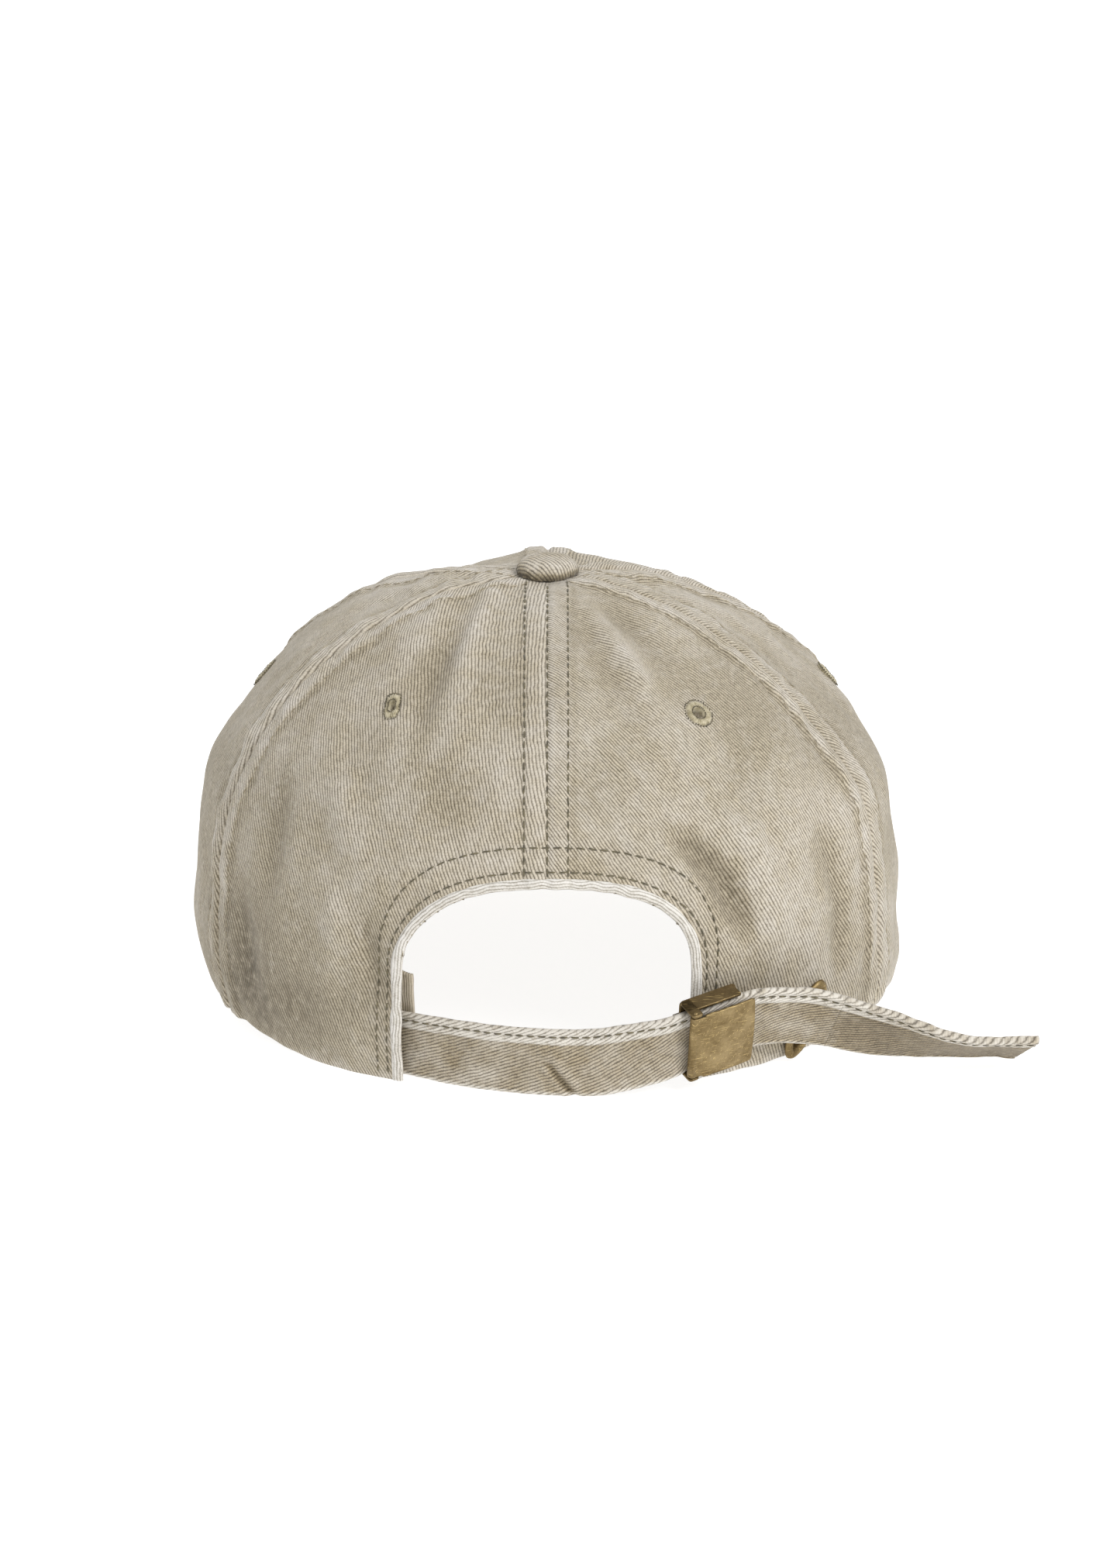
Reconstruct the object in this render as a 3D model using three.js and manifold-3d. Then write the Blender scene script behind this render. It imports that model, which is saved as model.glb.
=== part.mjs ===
import * as THREE from "three";
import { mergeVertices } from "three/addons/utils/BufferGeometryUtils.js";
import Module from "manifold-3d";

// Soft six-panel cap with a self-fabric strap and a flip clasp at the back.
// Millimetres, +Z up. The back of the cap faces -Y, the visor points to +Y and the wearer's right is +X.
// Angles round the crown run from the centre back (0) through the wearer's right (90) to the front (180).

const DEG = Math.PI / 180;

// Crown shell
const CROWN_X = 95; // widest half width
const CROWN_Y = 88; // widest half length
const RIM_SHARE = 0.965; // the rim is this share of the widest section
const WIDEST_Z = 30;
const CROWN_H = 115;
const DOME_POWER = 2.15;
const WALL_Q = 0.25; // share of the profile parameter spent on the low wall
const RIM_TILT = 7; // rise of the rim at the sides; the front gets twice as much
const RIM_ARCH = 8; // extra rise of the rim over the visor
const RIM_ARCH_FROM = 0.35;
const PANEL_T = 1.2;
const GAP = 0.3;
const APEX_HOLE = 2.5;

// Seams between the six panels: angle at the rim and angle near the button
const SEAM_BACK = [66, 70];
const SEAM_FRONT = [122, 112];
const PANEL_COLS = 10;
const PANEL_ROWS = 16;

// Rear opening, a rounded arch seen from behind
const ARCH_HALF = 39;
const ARCH_TOP = 57;
const ARCH_SPRING = 32;
const ARCH_POWER_LEFT = [2.4, 2.0];
const ARCH_POWER_RIGHT = [2.4, 2.4];
const ARCH_CUT = { steps: 20, bottom: -20, fromY: -120, toY: -20 }; // prism that opens the arch
const FACING_W = 8;
const FACING_INSET = 1.2;
const FACING_FOOT = 1;

// Lining strips inside
const LINING_GAP = 0.55;
const TAPE_T = 0.7;
const TAPE_HALF_W = 6;
const TAPE_TOP_R = 20;
const TAPE_FROM_Q = 0.01;
const BAND_T = 1.2;
const BAND_H = 33;
const BAND_LIFT = 1.2; // height of its lower edge above the rim
const BAND_CLEAR = 0.6;
const BAND_ENDS = { right: 1.5, left: -1.1 }; // beyond the sides of the arch
const BAND_STEP = [0.5, 0.28]; // angles before the left end where it steps in behind the strap
const LEAN_ROOM = 1.6; // room for the strap end that stands a little off the curved wall

// Visor
const VISOR_FROM = 118;
const VISOR_TIP_X = 81; // the tips meet the crown here
const VISOR_BULGE = 10; // extra half width between the tips and the front
const VISOR_BASE_Y = 42;
const VISOR_LENGTH = 112; // from the base line to the front edge
const VISOR_TOP_Z = 22.9;
const VISOR_PITCH = 0.16;
const VISOR_ARCH_R = 190;
const VISOR_SKIN = 0.7;
const VISOR_BOARD = 1.8;
const BOARD_INSET = 0.015; // share of the visor left free round the board
const VISOR_COLS = 22;
const VISOR_ROWS = 5;

// Strap: x, y, z of the middle line and lean of the band (0 upright, 90 lying flat)
const STRAP_W = 18.4;
const STRAP_T = 2.4;
const ROUND_STEPS = [0, 0.25, 0.6, 0.85, 1]; // sections of a rounded strap end
const ROUND_TIP = 0.12; // share of the thickness left at the very end
const STRAP_BAND = [
  [-50, -66.9, 9.4, -6],
  [-45, -69.9, 9.4, -6],
  [-39, -73.1, 9.4, -6],
  [-32, -76.8, 9.4, -5],
  [-20, -82.4, 9.3, -2],
  [-5, -86.6, 9.3, 0],
  [10, -88.4, 9.42, 0],
  [20, -89.1, 11.0, -3],
  [30, -88.9, 13.2, -10],
  [36, -87.4, 15.1, -16],
  [42.6, -84.2, 16.4, -17],
  [49, -80.4, 17.3, -17],
  [55.0, -77.2, 17.7, -17],
];
const TAIL_ROOT = [
  [57.2, -76.3, 17.7, -18],
  [62, -74.7, 17.3, -20],
  [68, -73.3, 16.5, -22],
  [76, -72.0, 14.5, -25],
  [84, -71.4, 12.1, -29],
  [88, -71.3, 11.2, -31],
];
const TAIL_TIP = [
  [90.2, -71.4, 10.8, -33],
  [96, -71.7, 9.8, -41],
  [103, -72.0, 8.4, -50],
  [110, -71.9, 7.5, -56],
  [120, -71.5, 7.1, -57],
  [128, -71.2, 7.0, -55],
];

// Flip clasp
const CLASP = { x: 42.7, y: -84.3, z: 16.4, yaw: 30, roll: 7.5, lean: -17 };
const CLASP_LEN = 17;
const CLASP_HALF_H = 11;
const SHEET = 0.8;
const CLASP_BACK_Y = -2.6;
const PIN_X = -7.3;
const PIN_Y = 2.9;
const PIN_R = 0.6;
const BARREL_R = 1.3;
const PIN_CLEAR = 0.2;
const PIN_END = 0.4; // the pin stands this far out of each ear
const EAR_END_X = -5.4; // ears hold the pin, low cheeks run along the rest
const EAR_OUT = 4;
const CHEEK_OUT = 1.4;
const LEVER_LEN = 17.5;
const LEVER_HALF_H = 10.4;
const LEVER_NECK = 9.8; // half height between the ears
const LEVER_CORNER = 1.2;
const LEVER_BULGE = 0.8;

// Cloth tab behind the clasp
const TAB_ALONG = [-9.5, 2];
const TAB_ACROSS = [-3.5, 6.5];
const TAB_T = 1.1;

// Grommet for the strap end
const GROMMET = { x: 67, z: 11.8, tilt: -24 };
const GROMMET_OUTER = [5.2, 11.4];
const GROMMET_SLOT = [2.3, 8.4];
const GROMMET_BARREL = 0.7;
const GROMMET_FLANGE = { thickness: 0.8, from: 0.75 };
const GROMMET_TUBE = { thickness: 3.8, from: -2.7 };
const GROMMET_WASHER = { thickness: 0.5, from: -2.6, inset: 0.6 };
const PLUG_SIZE = { depth: 8, bevelEnabled: false }; // cuts the slot through the wall

// Button: radius and height of each outline point above the crown
const BUTTON_LIFT = 0.4;
const BUTTON_COVER = [
  [0, 4.2],
  [3.5, 3.9],
  [6.2, 2.9],
  [7.5, 1.2],
  [7.3, 0],
  [8.0, 0],
  [8.4, 1],
  [7.8, 2.6],
  [6.6, 3.9],
  [3.8, 4.8],
  [0, 5],
];
const BUTTON_CORE = [
  [0, 0.3],
  [6.6, 0.3],
  [6.9, 1.1],
  [5.8, 2.6],
  [3.3, 3.5],
  [0, 3.8],
];
const BUTTON_RIVET = [
  [0, -5.4],
  [5.2, -5.4],
  [5.4, -4.6],
  [1.6, -4.2],
  [1.6, 0],
  [0, 0],
];

// Eyelets: name, angle round the crown, share of the profile
const EYELETS = [
  ["eyelet_back_right", 36, 0.635],
  ["eyelet_back_left", -38, 0.645],
  ["eyelet_side_right", 101, 0.555],
  ["eyelet_side_left", -101, 0.555],
  ["eyelet_front_right", 148, 0.64],
  ["eyelet_front_left", -148, 0.64],
];
const EYELET_BARREL = 2;
const EYELET_SECTION = [
  [1.2, -1.6],
  [EYELET_BARREL, -1.6],
  [EYELET_BARREL, 0.35],
  [4.1, 0.35],
  [3.8, 0.8],
  [2.7, 1.05],
  [1.7, 0.9],
  [1.2, 0.5],
  [1.2, -1.6],
];

const wasm = await Module();
wasm.setup();

const cloth = (colour, roughness = 0.95) => new THREE.MeshStandardMaterial({ color: colour, roughness, metalness: 0 });
const brass = (colour) => new THREE.MeshStandardMaterial({ color: colour, roughness: 0.45, metalness: 1 });
const KHAKI = 0xb5a68c;
const KHAKI_STRAP = 0xa9977a;
const TAPE = 0xb9ab92;
const BAND = 0xc2b49a;
const BRASS = 0x9b8561;
const BRASS_DARK = 0x7f6b4b;
const BOARD = 0x8f8a80;
const THREAD = 0x857a5c;

const group = new THREE.Group();

function add(name, geometry, material) {
  const mesh = new THREE.Mesh(geometry, material);
  mesh.name = name;
  group.add(mesh);
}

// Closed solids in and out of the boolean library
function solidOf(geometry) {
  const plain = geometry.clone();
  plain.deleteAttribute("normal");
  plain.deleteAttribute("uv");
  const merged = mergeVertices(plain, 1e-4);
  return new wasm.Manifold(
    new wasm.Mesh({
      numProp: 3,
      vertProperties: merged.attributes.position.array,
      triVerts: new Uint32Array(merged.index.array),
    }),
  );
}

function geometryOf(solid) {
  const mesh = solid.getMesh();
  const geometry = new THREE.BufferGeometry();
  geometry.setAttribute("position", new THREE.BufferAttribute(new Float32Array(mesh.vertProperties), 3));
  geometry.setIndex(new THREE.BufferAttribute(new Uint32Array(mesh.triVerts), 1));
  return geometry;
}

const cut = (geometry, ...tools) =>
  geometryOf(tools.reduce((solid, tool) => solid.subtract(solidOf(tool)), solidOf(geometry)));
const join = (geometry, ...others) =>
  geometryOf(others.reduce((solid, other) => solid.add(solidOf(other)), solidOf(geometry)));

// A closed slab between two grids of points: front(i, j) and back(i, j)
function slab(cols, rows, front, back) {
  const points = [];
  const index = [];
  const id = (side, i, j) => side * (cols + 1) * (rows + 1) + j * (cols + 1) + i;
  for (const surface of [front, back]) {
    for (let j = 0; j <= rows; j++) {
      for (let i = 0; i <= cols; i++) points.push(...surface(i / cols, j / rows));
    }
  }
  const quad = (a, b, c, d) => index.push(a, b, c, a, c, d);
  for (let j = 0; j < rows; j++) {
    for (let i = 0; i < cols; i++) {
      quad(id(0, i, j), id(0, i + 1, j), id(0, i + 1, j + 1), id(0, i, j + 1));
      quad(id(1, i, j), id(1, i, j + 1), id(1, i + 1, j + 1), id(1, i + 1, j));
    }
  }
  for (let i = 0; i < cols; i++) {
    quad(id(0, i, 0), id(1, i, 0), id(1, i + 1, 0), id(0, i + 1, 0));
    quad(id(0, i, rows), id(0, i + 1, rows), id(1, i + 1, rows), id(1, i, rows));
  }
  for (let j = 0; j < rows; j++) {
    quad(id(0, 0, j), id(0, 0, j + 1), id(1, 0, j + 1), id(1, 0, j));
    quad(id(0, cols, j), id(1, cols, j), id(1, cols, j + 1), id(0, cols, j + 1));
  }
  const geometry = new THREE.BufferGeometry();
  geometry.setAttribute("position", new THREE.BufferAttribute(new Float32Array(points), 3));
  geometry.setIndex(index);
  return geometry;
}

// Crown surface
function rimHeight(phi) {
  const front = -Math.cos(phi);
  const arch = Math.max(0, (front - RIM_ARCH_FROM) / (1 - RIM_ARCH_FROM));
  return RIM_TILT * (1 + front) + RIM_ARCH * arch ** 1.2;
}

function profile(q) {
  if (q < WALL_Q) {
    const w = q / WALL_Q;
    return { share: 1 - (1 - RIM_SHARE) * (1 - w) ** 2, wall: w, rise: 0 };
  }
  const t = (Math.min(1, (q - WALL_Q) / (1 - WALL_Q)) * Math.PI) / 2;
  const share = Math.max(Math.cos(t), 0) ** (2 / DOME_POWER);
  return { share, wall: 1, rise: Math.sin(t) ** (2 / DOME_POWER) };
}

function crown(phi, q) {
  const { share, wall, rise } = profile(q);
  const rim = rimHeight(phi);
  const z = wall < 1 ? rim + (WIDEST_Z - rim) * wall : WIDEST_Z + (CROWN_H - WIDEST_Z) * rise;
  return new THREE.Vector3(CROWN_X * share * Math.sin(phi), -CROWN_Y * share * Math.cos(phi), z);
}

function crownNormal(phi, q) {
  const step = 1e-3;
  const low = Math.min(q, 1 - 5 * step);
  const along = crown(phi + step, low).sub(crown(phi - step, low));
  const up = crown(phi, low + step).sub(crown(phi, Math.max(0, low - step)));
  return along.cross(up).normalize();
}

const inside = (phi, q, depth) => crown(phi, q).addScaledVector(crownNormal(phi, q), -depth);

// Profile parameter where the crown has this radius share, or this height
function solve(test) {
  let low = 0;
  let high = 1;
  for (let i = 0; i < 40; i++) {
    const middle = (low + high) / 2;
    if (test(middle)) low = middle;
    else high = middle;
  }
  return (low + high) / 2;
}

const qAtRadius = (radius) => solve((q) => q < WALL_Q || profile(q).share * CROWN_X > radius);
const qAtHeight = (phi, z) => solve((q) => crown(phi, q).z < z);
const Q_TOP = qAtRadius(APEX_HOLE);

// Angle and profile parameter of the back wall at this x and z
function backAt(x, z) {
  let phi = Math.asin(x / CROWN_X);
  let q = 0;
  for (let i = 0; i < 12; i++) {
    q = qAtHeight(phi, z);
    phi = Math.asin(THREE.MathUtils.clamp(x / (CROWN_X * profile(q).share), -1, 1));
  }
  return [phi, q];
}

const backWall = (x, z, depth) => inside(...backAt(x, z), depth);

const seamAngle = ([rim, top], q) => (rim + (top - rim) * q) * DEG;

// Angle taken by half the gap between panels
const gapAngle = (q) => GAP / 2 / Math.max(APEX_HOLE, CROWN_Y * profile(q).share);

function panelSheet(fromSeam, toSeam) {
  const angle = (u, q) => {
    const from = seamAngle(fromSeam, q) + gapAngle(q);
    const to = seamAngle(toSeam, q) - gapAngle(q);
    return from + (to - from) * u;
  };
  const side = (depth) => (u, v) => inside(angle(u, v * Q_TOP), v * Q_TOP, depth);
  return slab(PANEL_COLS, PANEL_ROWS, side(0), side(PANEL_T));
}

// Arch outline as points from the lower left over the top to the lower right
function archOutline(grow, steps, bottom) {
  const half = ARCH_HALF + grow;
  const rise = ARCH_TOP + grow - ARCH_SPRING;
  const legs = 4;
  const legAt = (k) => bottom + ((ARCH_SPRING - bottom) * k) / legs;
  const points = [];
  for (let k = 0; k < legs; k++) points.push([-half, legAt(k)]);
  for (let i = 0; i <= steps; i++) {
    const t = Math.PI * (1 - i / steps);
    const power = t > Math.PI / 2 ? ARCH_POWER_LEFT : ARCH_POWER_RIGHT;
    const x = Math.sign(Math.cos(t)) * Math.abs(Math.cos(t)) ** (2 / power[0]) * half;
    const z = ARCH_SPRING + Math.sin(t) ** (2 / power[1]) * rise;
    points.push([x, z]);
  }
  for (let k = legs - 1; k >= 0; k--) points.push([half, legAt(k)]);
  return points;
}

function prismAlongY(outline, fromY, toY) {
  const shape = new THREE.Shape(outline.map(([x, z]) => new THREE.Vector2(x, z)));
  const geometry = new THREE.ExtrudeGeometry(shape, { depth: toY - fromY, bevelEnabled: false });
  return geometry.rotateX(Math.PI / 2).translate(0, toY, 0);
}

function ellipseShape(a, b, steps = 28) {
  const points = [];
  for (let i = 0; i < steps; i++) {
    const t = (i / steps) * 2 * Math.PI;
    points.push(new THREE.Vector2(a * Math.cos(t), b * Math.sin(t)));
  }
  return points;
}

function ovalRing(outer, inner, { thickness, from }) {
  const shape = new THREE.Shape(ellipseShape(...outer));
  shape.holes.push(new THREE.Path(ellipseShape(...inner)));
  const ring = new THREE.ExtrudeGeometry(shape, { depth: thickness, bevelEnabled: false });
  return ring.translate(0, 0, from);
}

// Matrix that puts local +Z on the outward crown normal and local +Y up the wall
function onCrown(phi, q, tilt = 0) {
  const z = crownNormal(phi, q);
  const y = new THREE.Vector3(0, 0, 1).addScaledVector(z, -z.z).normalize();
  const x = new THREE.Vector3().crossVectors(y, z);
  const turn = new THREE.Matrix4().makeRotationZ(tilt * DEG);
  return new THREE.Matrix4().makeBasis(x, y, z).setPosition(crown(phi, q)).multiply(turn);
}

function makePanels() {
  const centreBack = [0, 0];
  const centreFront = [180, 180];
  const negative = (seam) => seam.map((a) => -a);
  const [grommetPhi, grommetQ] = backAt(GROMMET.x, GROMMET.z);
  const outline = archOutline(0, ARCH_CUT.steps, ARCH_CUT.bottom);
  const arch = prismAlongY(outline, ARCH_CUT.fromY, ARCH_CUT.toY);
  const slotSize = GROMMET_SLOT.map((v) => v + GROMMET_BARREL + GAP);
  const plug = new THREE.ExtrudeGeometry(new THREE.Shape(ellipseShape(...slotSize)), PLUG_SIZE);
  plug.translate(0, 0, -PLUG_SIZE.depth / 2).applyMatrix4(onCrown(grommetPhi, grommetQ, GROMMET.tilt));
  const punch = (name) => {
    const [, angle, q] = EYELETS.find(([eyelet]) => eyelet === name);
    const hole = rod(0, 0, EYELET_BARREL + GAP, PLUG_SIZE.depth / 2, 16);
    return hole.applyMatrix4(onCrown(angle * DEG, q));
  };
  const panels = [
    ["back_right", centreBack, SEAM_BACK, [arch, plug]],
    ["side_right", SEAM_BACK, SEAM_FRONT, []],
    ["front_right", SEAM_FRONT, centreFront, []],
    ["back_left", negative(SEAM_BACK), centreBack, [arch]],
    ["side_left", negative(SEAM_FRONT), negative(SEAM_BACK), []],
    ["front_left", negative(centreFront), negative(SEAM_FRONT), []],
  ];
  for (const [place, from, to, tools] of panels) {
    add("panel_" + place, cut(panelSheet(from, to), ...tools, punch("eyelet_" + place)), cloth(KHAKI));
  }
}

// A strip of tape under one seam, from the rim or the arch up to near the button
function makeTapes() {
  const top = qAtRadius(TAPE_TOP_R);
  const tapes = [
    ["tape_centre_back", [0, 0], qAtHeight(0, ARCH_TOP + FACING_W + 1)],
    ["tape_back_right", SEAM_BACK, TAPE_FROM_Q],
    ["tape_back_left", SEAM_BACK.map((a) => -a), TAPE_FROM_Q],
    ["tape_front_right", SEAM_FRONT, TAPE_FROM_Q],
    ["tape_front_left", SEAM_FRONT.map((a) => -a), TAPE_FROM_Q],
    ["tape_centre_front", [180, 180], TAPE_FROM_Q],
  ];
  for (const [name, seam, from] of tapes) {
    const side = (depth) => (u, v) => {
      const q = from + (top - from) * v;
      const radius = CROWN_Y * profile(q).share;
      return inside(seamAngle(seam, q) + ((u - 0.5) * 2 * TAPE_HALF_W) / radius, q, depth);
    };
    const depth = PANEL_T + LINING_GAP;
    add(name, slab(2, 12, side(depth), side(depth + TAPE_T)), cloth(TAPE));
  }
}

function makeArchFacing() {
  const steps = 22;
  const edge = archOutline(FACING_INSET, steps, rimHeight(0) + FACING_FOOT);
  const outer = archOutline(FACING_W, steps, rimHeight(0) + FACING_FOOT);
  const count = edge.length - 1;
  const side = (depth) => (u, v) => {
    const i = Math.round(v * count);
    const x = outer[i][0] + (edge[i][0] - outer[i][0]) * u;
    const z = outer[i][1] + (edge[i][1] - outer[i][1]) * u;
    return backWall(x, z, depth);
  };
  const depth = PANEL_T + LINING_GAP;
  add("arch_facing", slab(2, count, side(depth), side(depth + TAPE_T)), cloth(TAPE));
}

function makeSweatband() {
  const right = Math.asin((ARCH_HALF + BAND_ENDS.right) / CROWN_X);
  const left = 2 * Math.PI - Math.asin((ARCH_HALF + BAND_ENDS.left) / CROWN_X);
  const side = (extra) => (u, v) => {
    const phi = right + (left - right) * u;
    const base = PANEL_T + LINING_GAP + TAPE_T + BAND_CLEAR;
    const near = THREE.MathUtils.smoothstep(phi, left - BAND_STEP[0], left - BAND_STEP[1]);
    const from = rimHeight(phi) + BAND_LIFT;
    const q = qAtHeight(phi, from + BAND_H * v);
    return inside(phi, q, base + near * (STRAP_T + LEAN_ROOM) + extra);
  };
  add("sweatband", slab(56, 5, side(0), side(BAND_T)), cloth(BAND));
}

// Visor surface: u runs from tip to tip and v from the crown to the front edge
function visorPoint(u, v, depth) {
  const phi = (180 + (u - 0.5) * 2 * (180 - VISOR_FROM)) * DEG;
  const root = crown(phi, 0);
  const turn = (u - 0.5) * Math.PI;
  const reach = VISOR_TIP_X + VISOR_BULGE * Math.abs(Math.sin(2 * turn));
  const edgeX = -Math.sign(turn) * Math.abs(Math.sin(turn)) ** 0.8 * reach;
  const edgeY = VISOR_BASE_Y + VISOR_LENGTH * Math.cos(turn);
  const x = root.x + (edgeX - root.x) * v;
  const y = root.y + (edgeY - root.y) * v;
  const arch = (px, py) =>
    VISOR_TOP_Z - VISOR_PITCH * (py - CROWN_Y * RIM_SHARE) - px ** 2 / (2 * VISOR_ARCH_R);
  const fix = (1 - v) * (root.z - GAP - arch(root.x, root.y));
  return new THREE.Vector3(x, y, arch(x, y) + fix - depth);
}

function makeVisor() {
  const layer = (name, from, thickness, inset, colour) => {
    const shrink = (u, v) => [inset + u * (1 - 2 * inset), inset + v * (1 - 2 * inset)];
    const side = (depth) => (u, v) => visorPoint(...shrink(1 - u, v), depth);
    const geometry = slab(VISOR_COLS, VISOR_ROWS, side(from), side(from + thickness));
    add(name, geometry, cloth(colour));
  };
  const boardFrom = VISOR_SKIN + GAP;
  const underFrom = boardFrom + VISOR_BOARD + GAP;
  layer("visor_top_cover", 0, VISOR_SKIN, 0, KHAKI);
  layer("visor_board", boardFrom, VISOR_BOARD, BOARD_INSET, BOARD);
  layer("visor_under_cover", underFrom, VISOR_SKIN, 0, KHAKI);
}

// A band swept along a list of x, y, z, lean; ends may be rounded about the width direction
function band(stations, steps, roundStart) {
  const curve = new THREE.CatmullRomCurve3(stations.map(([x, y, z]) => new THREE.Vector3(x, y, z)));
  const leans = stations.map((station) => station[3]);
  const leanAt = (t) => {
    const place = t * (leans.length - 1);
    const i = Math.min(Math.floor(place), leans.length - 2);
    return (leans[i] + (leans[i + 1] - leans[i]) * (place - i)) * DEG;
  };
  const frameAt = (t) => {
    const along = curve.getTangent(t);
    const flat = new THREE.Vector3(along.x, along.y, 0).normalize();
    const outward = new THREE.Vector3(flat.y, -flat.x, 0);
    const upright = new THREE.Vector3().crossVectors(along, outward).negate();
    const lean = leanAt(t);
    const width = upright.clone().multiplyScalar(Math.cos(lean)).addScaledVector(outward, -Math.sin(lean));
    const normal = outward.clone().multiplyScalar(Math.cos(lean)).addScaledVector(upright, Math.sin(lean));
    return { at: curve.getPoint(t), width, normal, along };
  };
  const nose = roundStart ? ROUND_STEPS : [];
  const sections = nose.length + steps;
  const surface = (sign) => (u, v) => {
    const k = Math.round(u * sections);
    const t = k < nose.length ? 0 : (k - nose.length) / steps;
    const { at, width, normal, along } = frameAt(t);
    const share = k < nose.length ? Math.max(Math.sqrt(1 - (1 - nose[k]) ** 2), ROUND_TIP) : 1;
    const back = k < nose.length ? (1 - nose[k]) * (STRAP_T / 2) : 0;
    return at
      .clone()
      .addScaledVector(along, -back)
      .addScaledVector(width, (v - 0.5) * STRAP_W)
      .addScaledVector(normal, sign * share * (STRAP_T / 2));
  };
  return slab(sections, 2, surface(1), surface(-1));
}

function makeStrap() {
  add("strap_band", band(STRAP_BAND, 30, false), cloth(KHAKI_STRAP));
  add("strap_tail_root", band(TAIL_ROOT, 10, true), cloth(KHAKI_STRAP));
  add("strap_tail_tip", band(TAIL_TIP, 14, true), cloth(KHAKI_STRAP));
}

// Clasp pieces are drawn with x along the strap, y out of the cap and z across the strap
function claspFrame() {
  const frame = new THREE.Matrix4().makeRotationZ(CLASP.yaw * DEG);
  frame.multiply(new THREE.Matrix4().makeRotationY(-CLASP.roll * DEG));
  frame.multiply(new THREE.Matrix4().makeRotationX(-CLASP.lean * DEG));
  return frame.setPosition(CLASP.x, CLASP.y, CLASP.z);
}

// Local y is kept pointing into the cap, so outward distances are negative
function plate(x0, x1, out0, out1, z0, z1) {
  const box = new THREE.BoxGeometry(x1 - x0, out1 - out0, z1 - z0);
  return box.translate((x0 + x1) / 2, -(out0 + out1) / 2, (z0 + z1) / 2);
}

function rod(x, out, radius, half, steps = 20) {
  const cylinder = new THREE.CylinderGeometry(radius, radius, 2 * half, steps);
  return cylinder.rotateX(Math.PI / 2).translate(x, -out, 0);
}

function leverPlate() {
  const start = EAR_END_X + GAP;
  const end = PIN_X + LEVER_LEN;
  const side = LEVER_HALF_H - LEVER_CORNER;
  const shape = new THREE.Shape();
  shape.moveTo(PIN_X, -LEVER_NECK);
  shape.lineTo(start, -LEVER_NECK);
  shape.lineTo(start, -LEVER_HALF_H);
  shape.lineTo(end - LEVER_CORNER, -LEVER_HALF_H);
  shape.quadraticCurveTo(end, -LEVER_HALF_H, end, -side);
  shape.quadraticCurveTo(end + LEVER_BULGE, 0, end, side);
  shape.quadraticCurveTo(end, LEVER_HALF_H, end - LEVER_CORNER, LEVER_HALF_H);
  shape.lineTo(start, LEVER_HALF_H);
  shape.lineTo(start, LEVER_NECK);
  shape.lineTo(PIN_X, LEVER_NECK);
  const geometry = new THREE.ExtrudeGeometry(shape, { depth: SHEET, bevelEnabled: false, curveSegments: 6 });
  return geometry.rotateX(Math.PI / 2).translate(0, -PIN_Y - BARREL_R + SHEET, 0);
}

function claspChannel() {
  const half = CLASP_LEN / 2;
  const inner = CLASP_HALF_H - SHEET;
  const from = CLASP_BACK_Y - SHEET / 2;
  const walls = (x1, out) => [
    plate(-half, x1, from, out, inner, CLASP_HALF_H),
    plate(-half, x1, from, out, -CLASP_HALF_H, -inner),
  ];
  const back = plate(-half, half, CLASP_BACK_Y - SHEET, CLASP_BACK_Y, -CLASP_HALF_H, CLASP_HALF_H);
  const channel = join(back, ...walls(half - SHEET, CHEEK_OUT), ...walls(EAR_END_X, EAR_OUT));
  return cut(channel, rod(PIN_X, PIN_Y, PIN_R + PIN_CLEAR, 2 * CLASP_HALF_H));
}

function makeClasp() {
  const place = claspFrame();
  add("clasp_frame", claspChannel().applyMatrix4(place), brass(BRASS_DARK));
  const barrel = rod(PIN_X, PIN_Y, BARREL_R, LEVER_NECK, 24);
  const lever = cut(join(barrel, leverPlate()), rod(PIN_X, PIN_Y, PIN_R + PIN_CLEAR, CLASP_HALF_H));
  add("clasp_lever", lever.applyMatrix4(place), brass(BRASS));
  const pin = rod(PIN_X, PIN_Y, PIN_R, CLASP_HALF_H + PIN_END);
  add("clasp_pin", pin.applyMatrix4(place), brass(BRASS_DARK));
  const tab = plate(...TAB_ALONG, CLASP_BACK_Y - SHEET - TAB_T, CLASP_BACK_Y - SHEET - GAP, ...TAB_ACROSS);
  add("clasp_tab", tab.applyMatrix4(place), cloth(KHAKI_STRAP));
}

function makeGrommet() {
  const [phi, q] = backAt(GROMMET.x, GROMMET.z);
  const place = onCrown(phi, q, GROMMET.tilt);
  const barrelSize = GROMMET_SLOT.map((v) => v + GROMMET_BARREL);
  const flange = ovalRing(GROMMET_OUTER, GROMMET_SLOT, GROMMET_FLANGE);
  const barrel = ovalRing(barrelSize, GROMMET_SLOT, GROMMET_TUBE);
  add("grommet_flange", join(flange, barrel).applyMatrix4(place), brass(BRASS));
  const clear = barrelSize.map((v) => v + GAP);
  const washer = ovalRing(GROMMET_OUTER.map((v) => v - GROMMET_WASHER.inset), clear, GROMMET_WASHER);
  add("grommet_washer", washer.applyMatrix4(place), brass(BRASS_DARK));
}

function lathe(profilePoints, steps = 24) {
  const points = profilePoints.map(([r, z]) => new THREE.Vector2(r, z));
  return new THREE.LatheGeometry(points, steps).rotateX(Math.PI / 2);
}

function makeButton() {
  const lifted = (outline) => outline.map(([r, z]) => [r, z + CROWN_H + BUTTON_LIFT]);
  add("button_cover", lathe(lifted(BUTTON_COVER), 28), cloth(KHAKI));
  add("button_core", lathe(lifted(BUTTON_CORE)), brass(BRASS_DARK));
  add("button_rivet", lathe(lifted(BUTTON_RIVET)), brass(BRASS));
}

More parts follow.
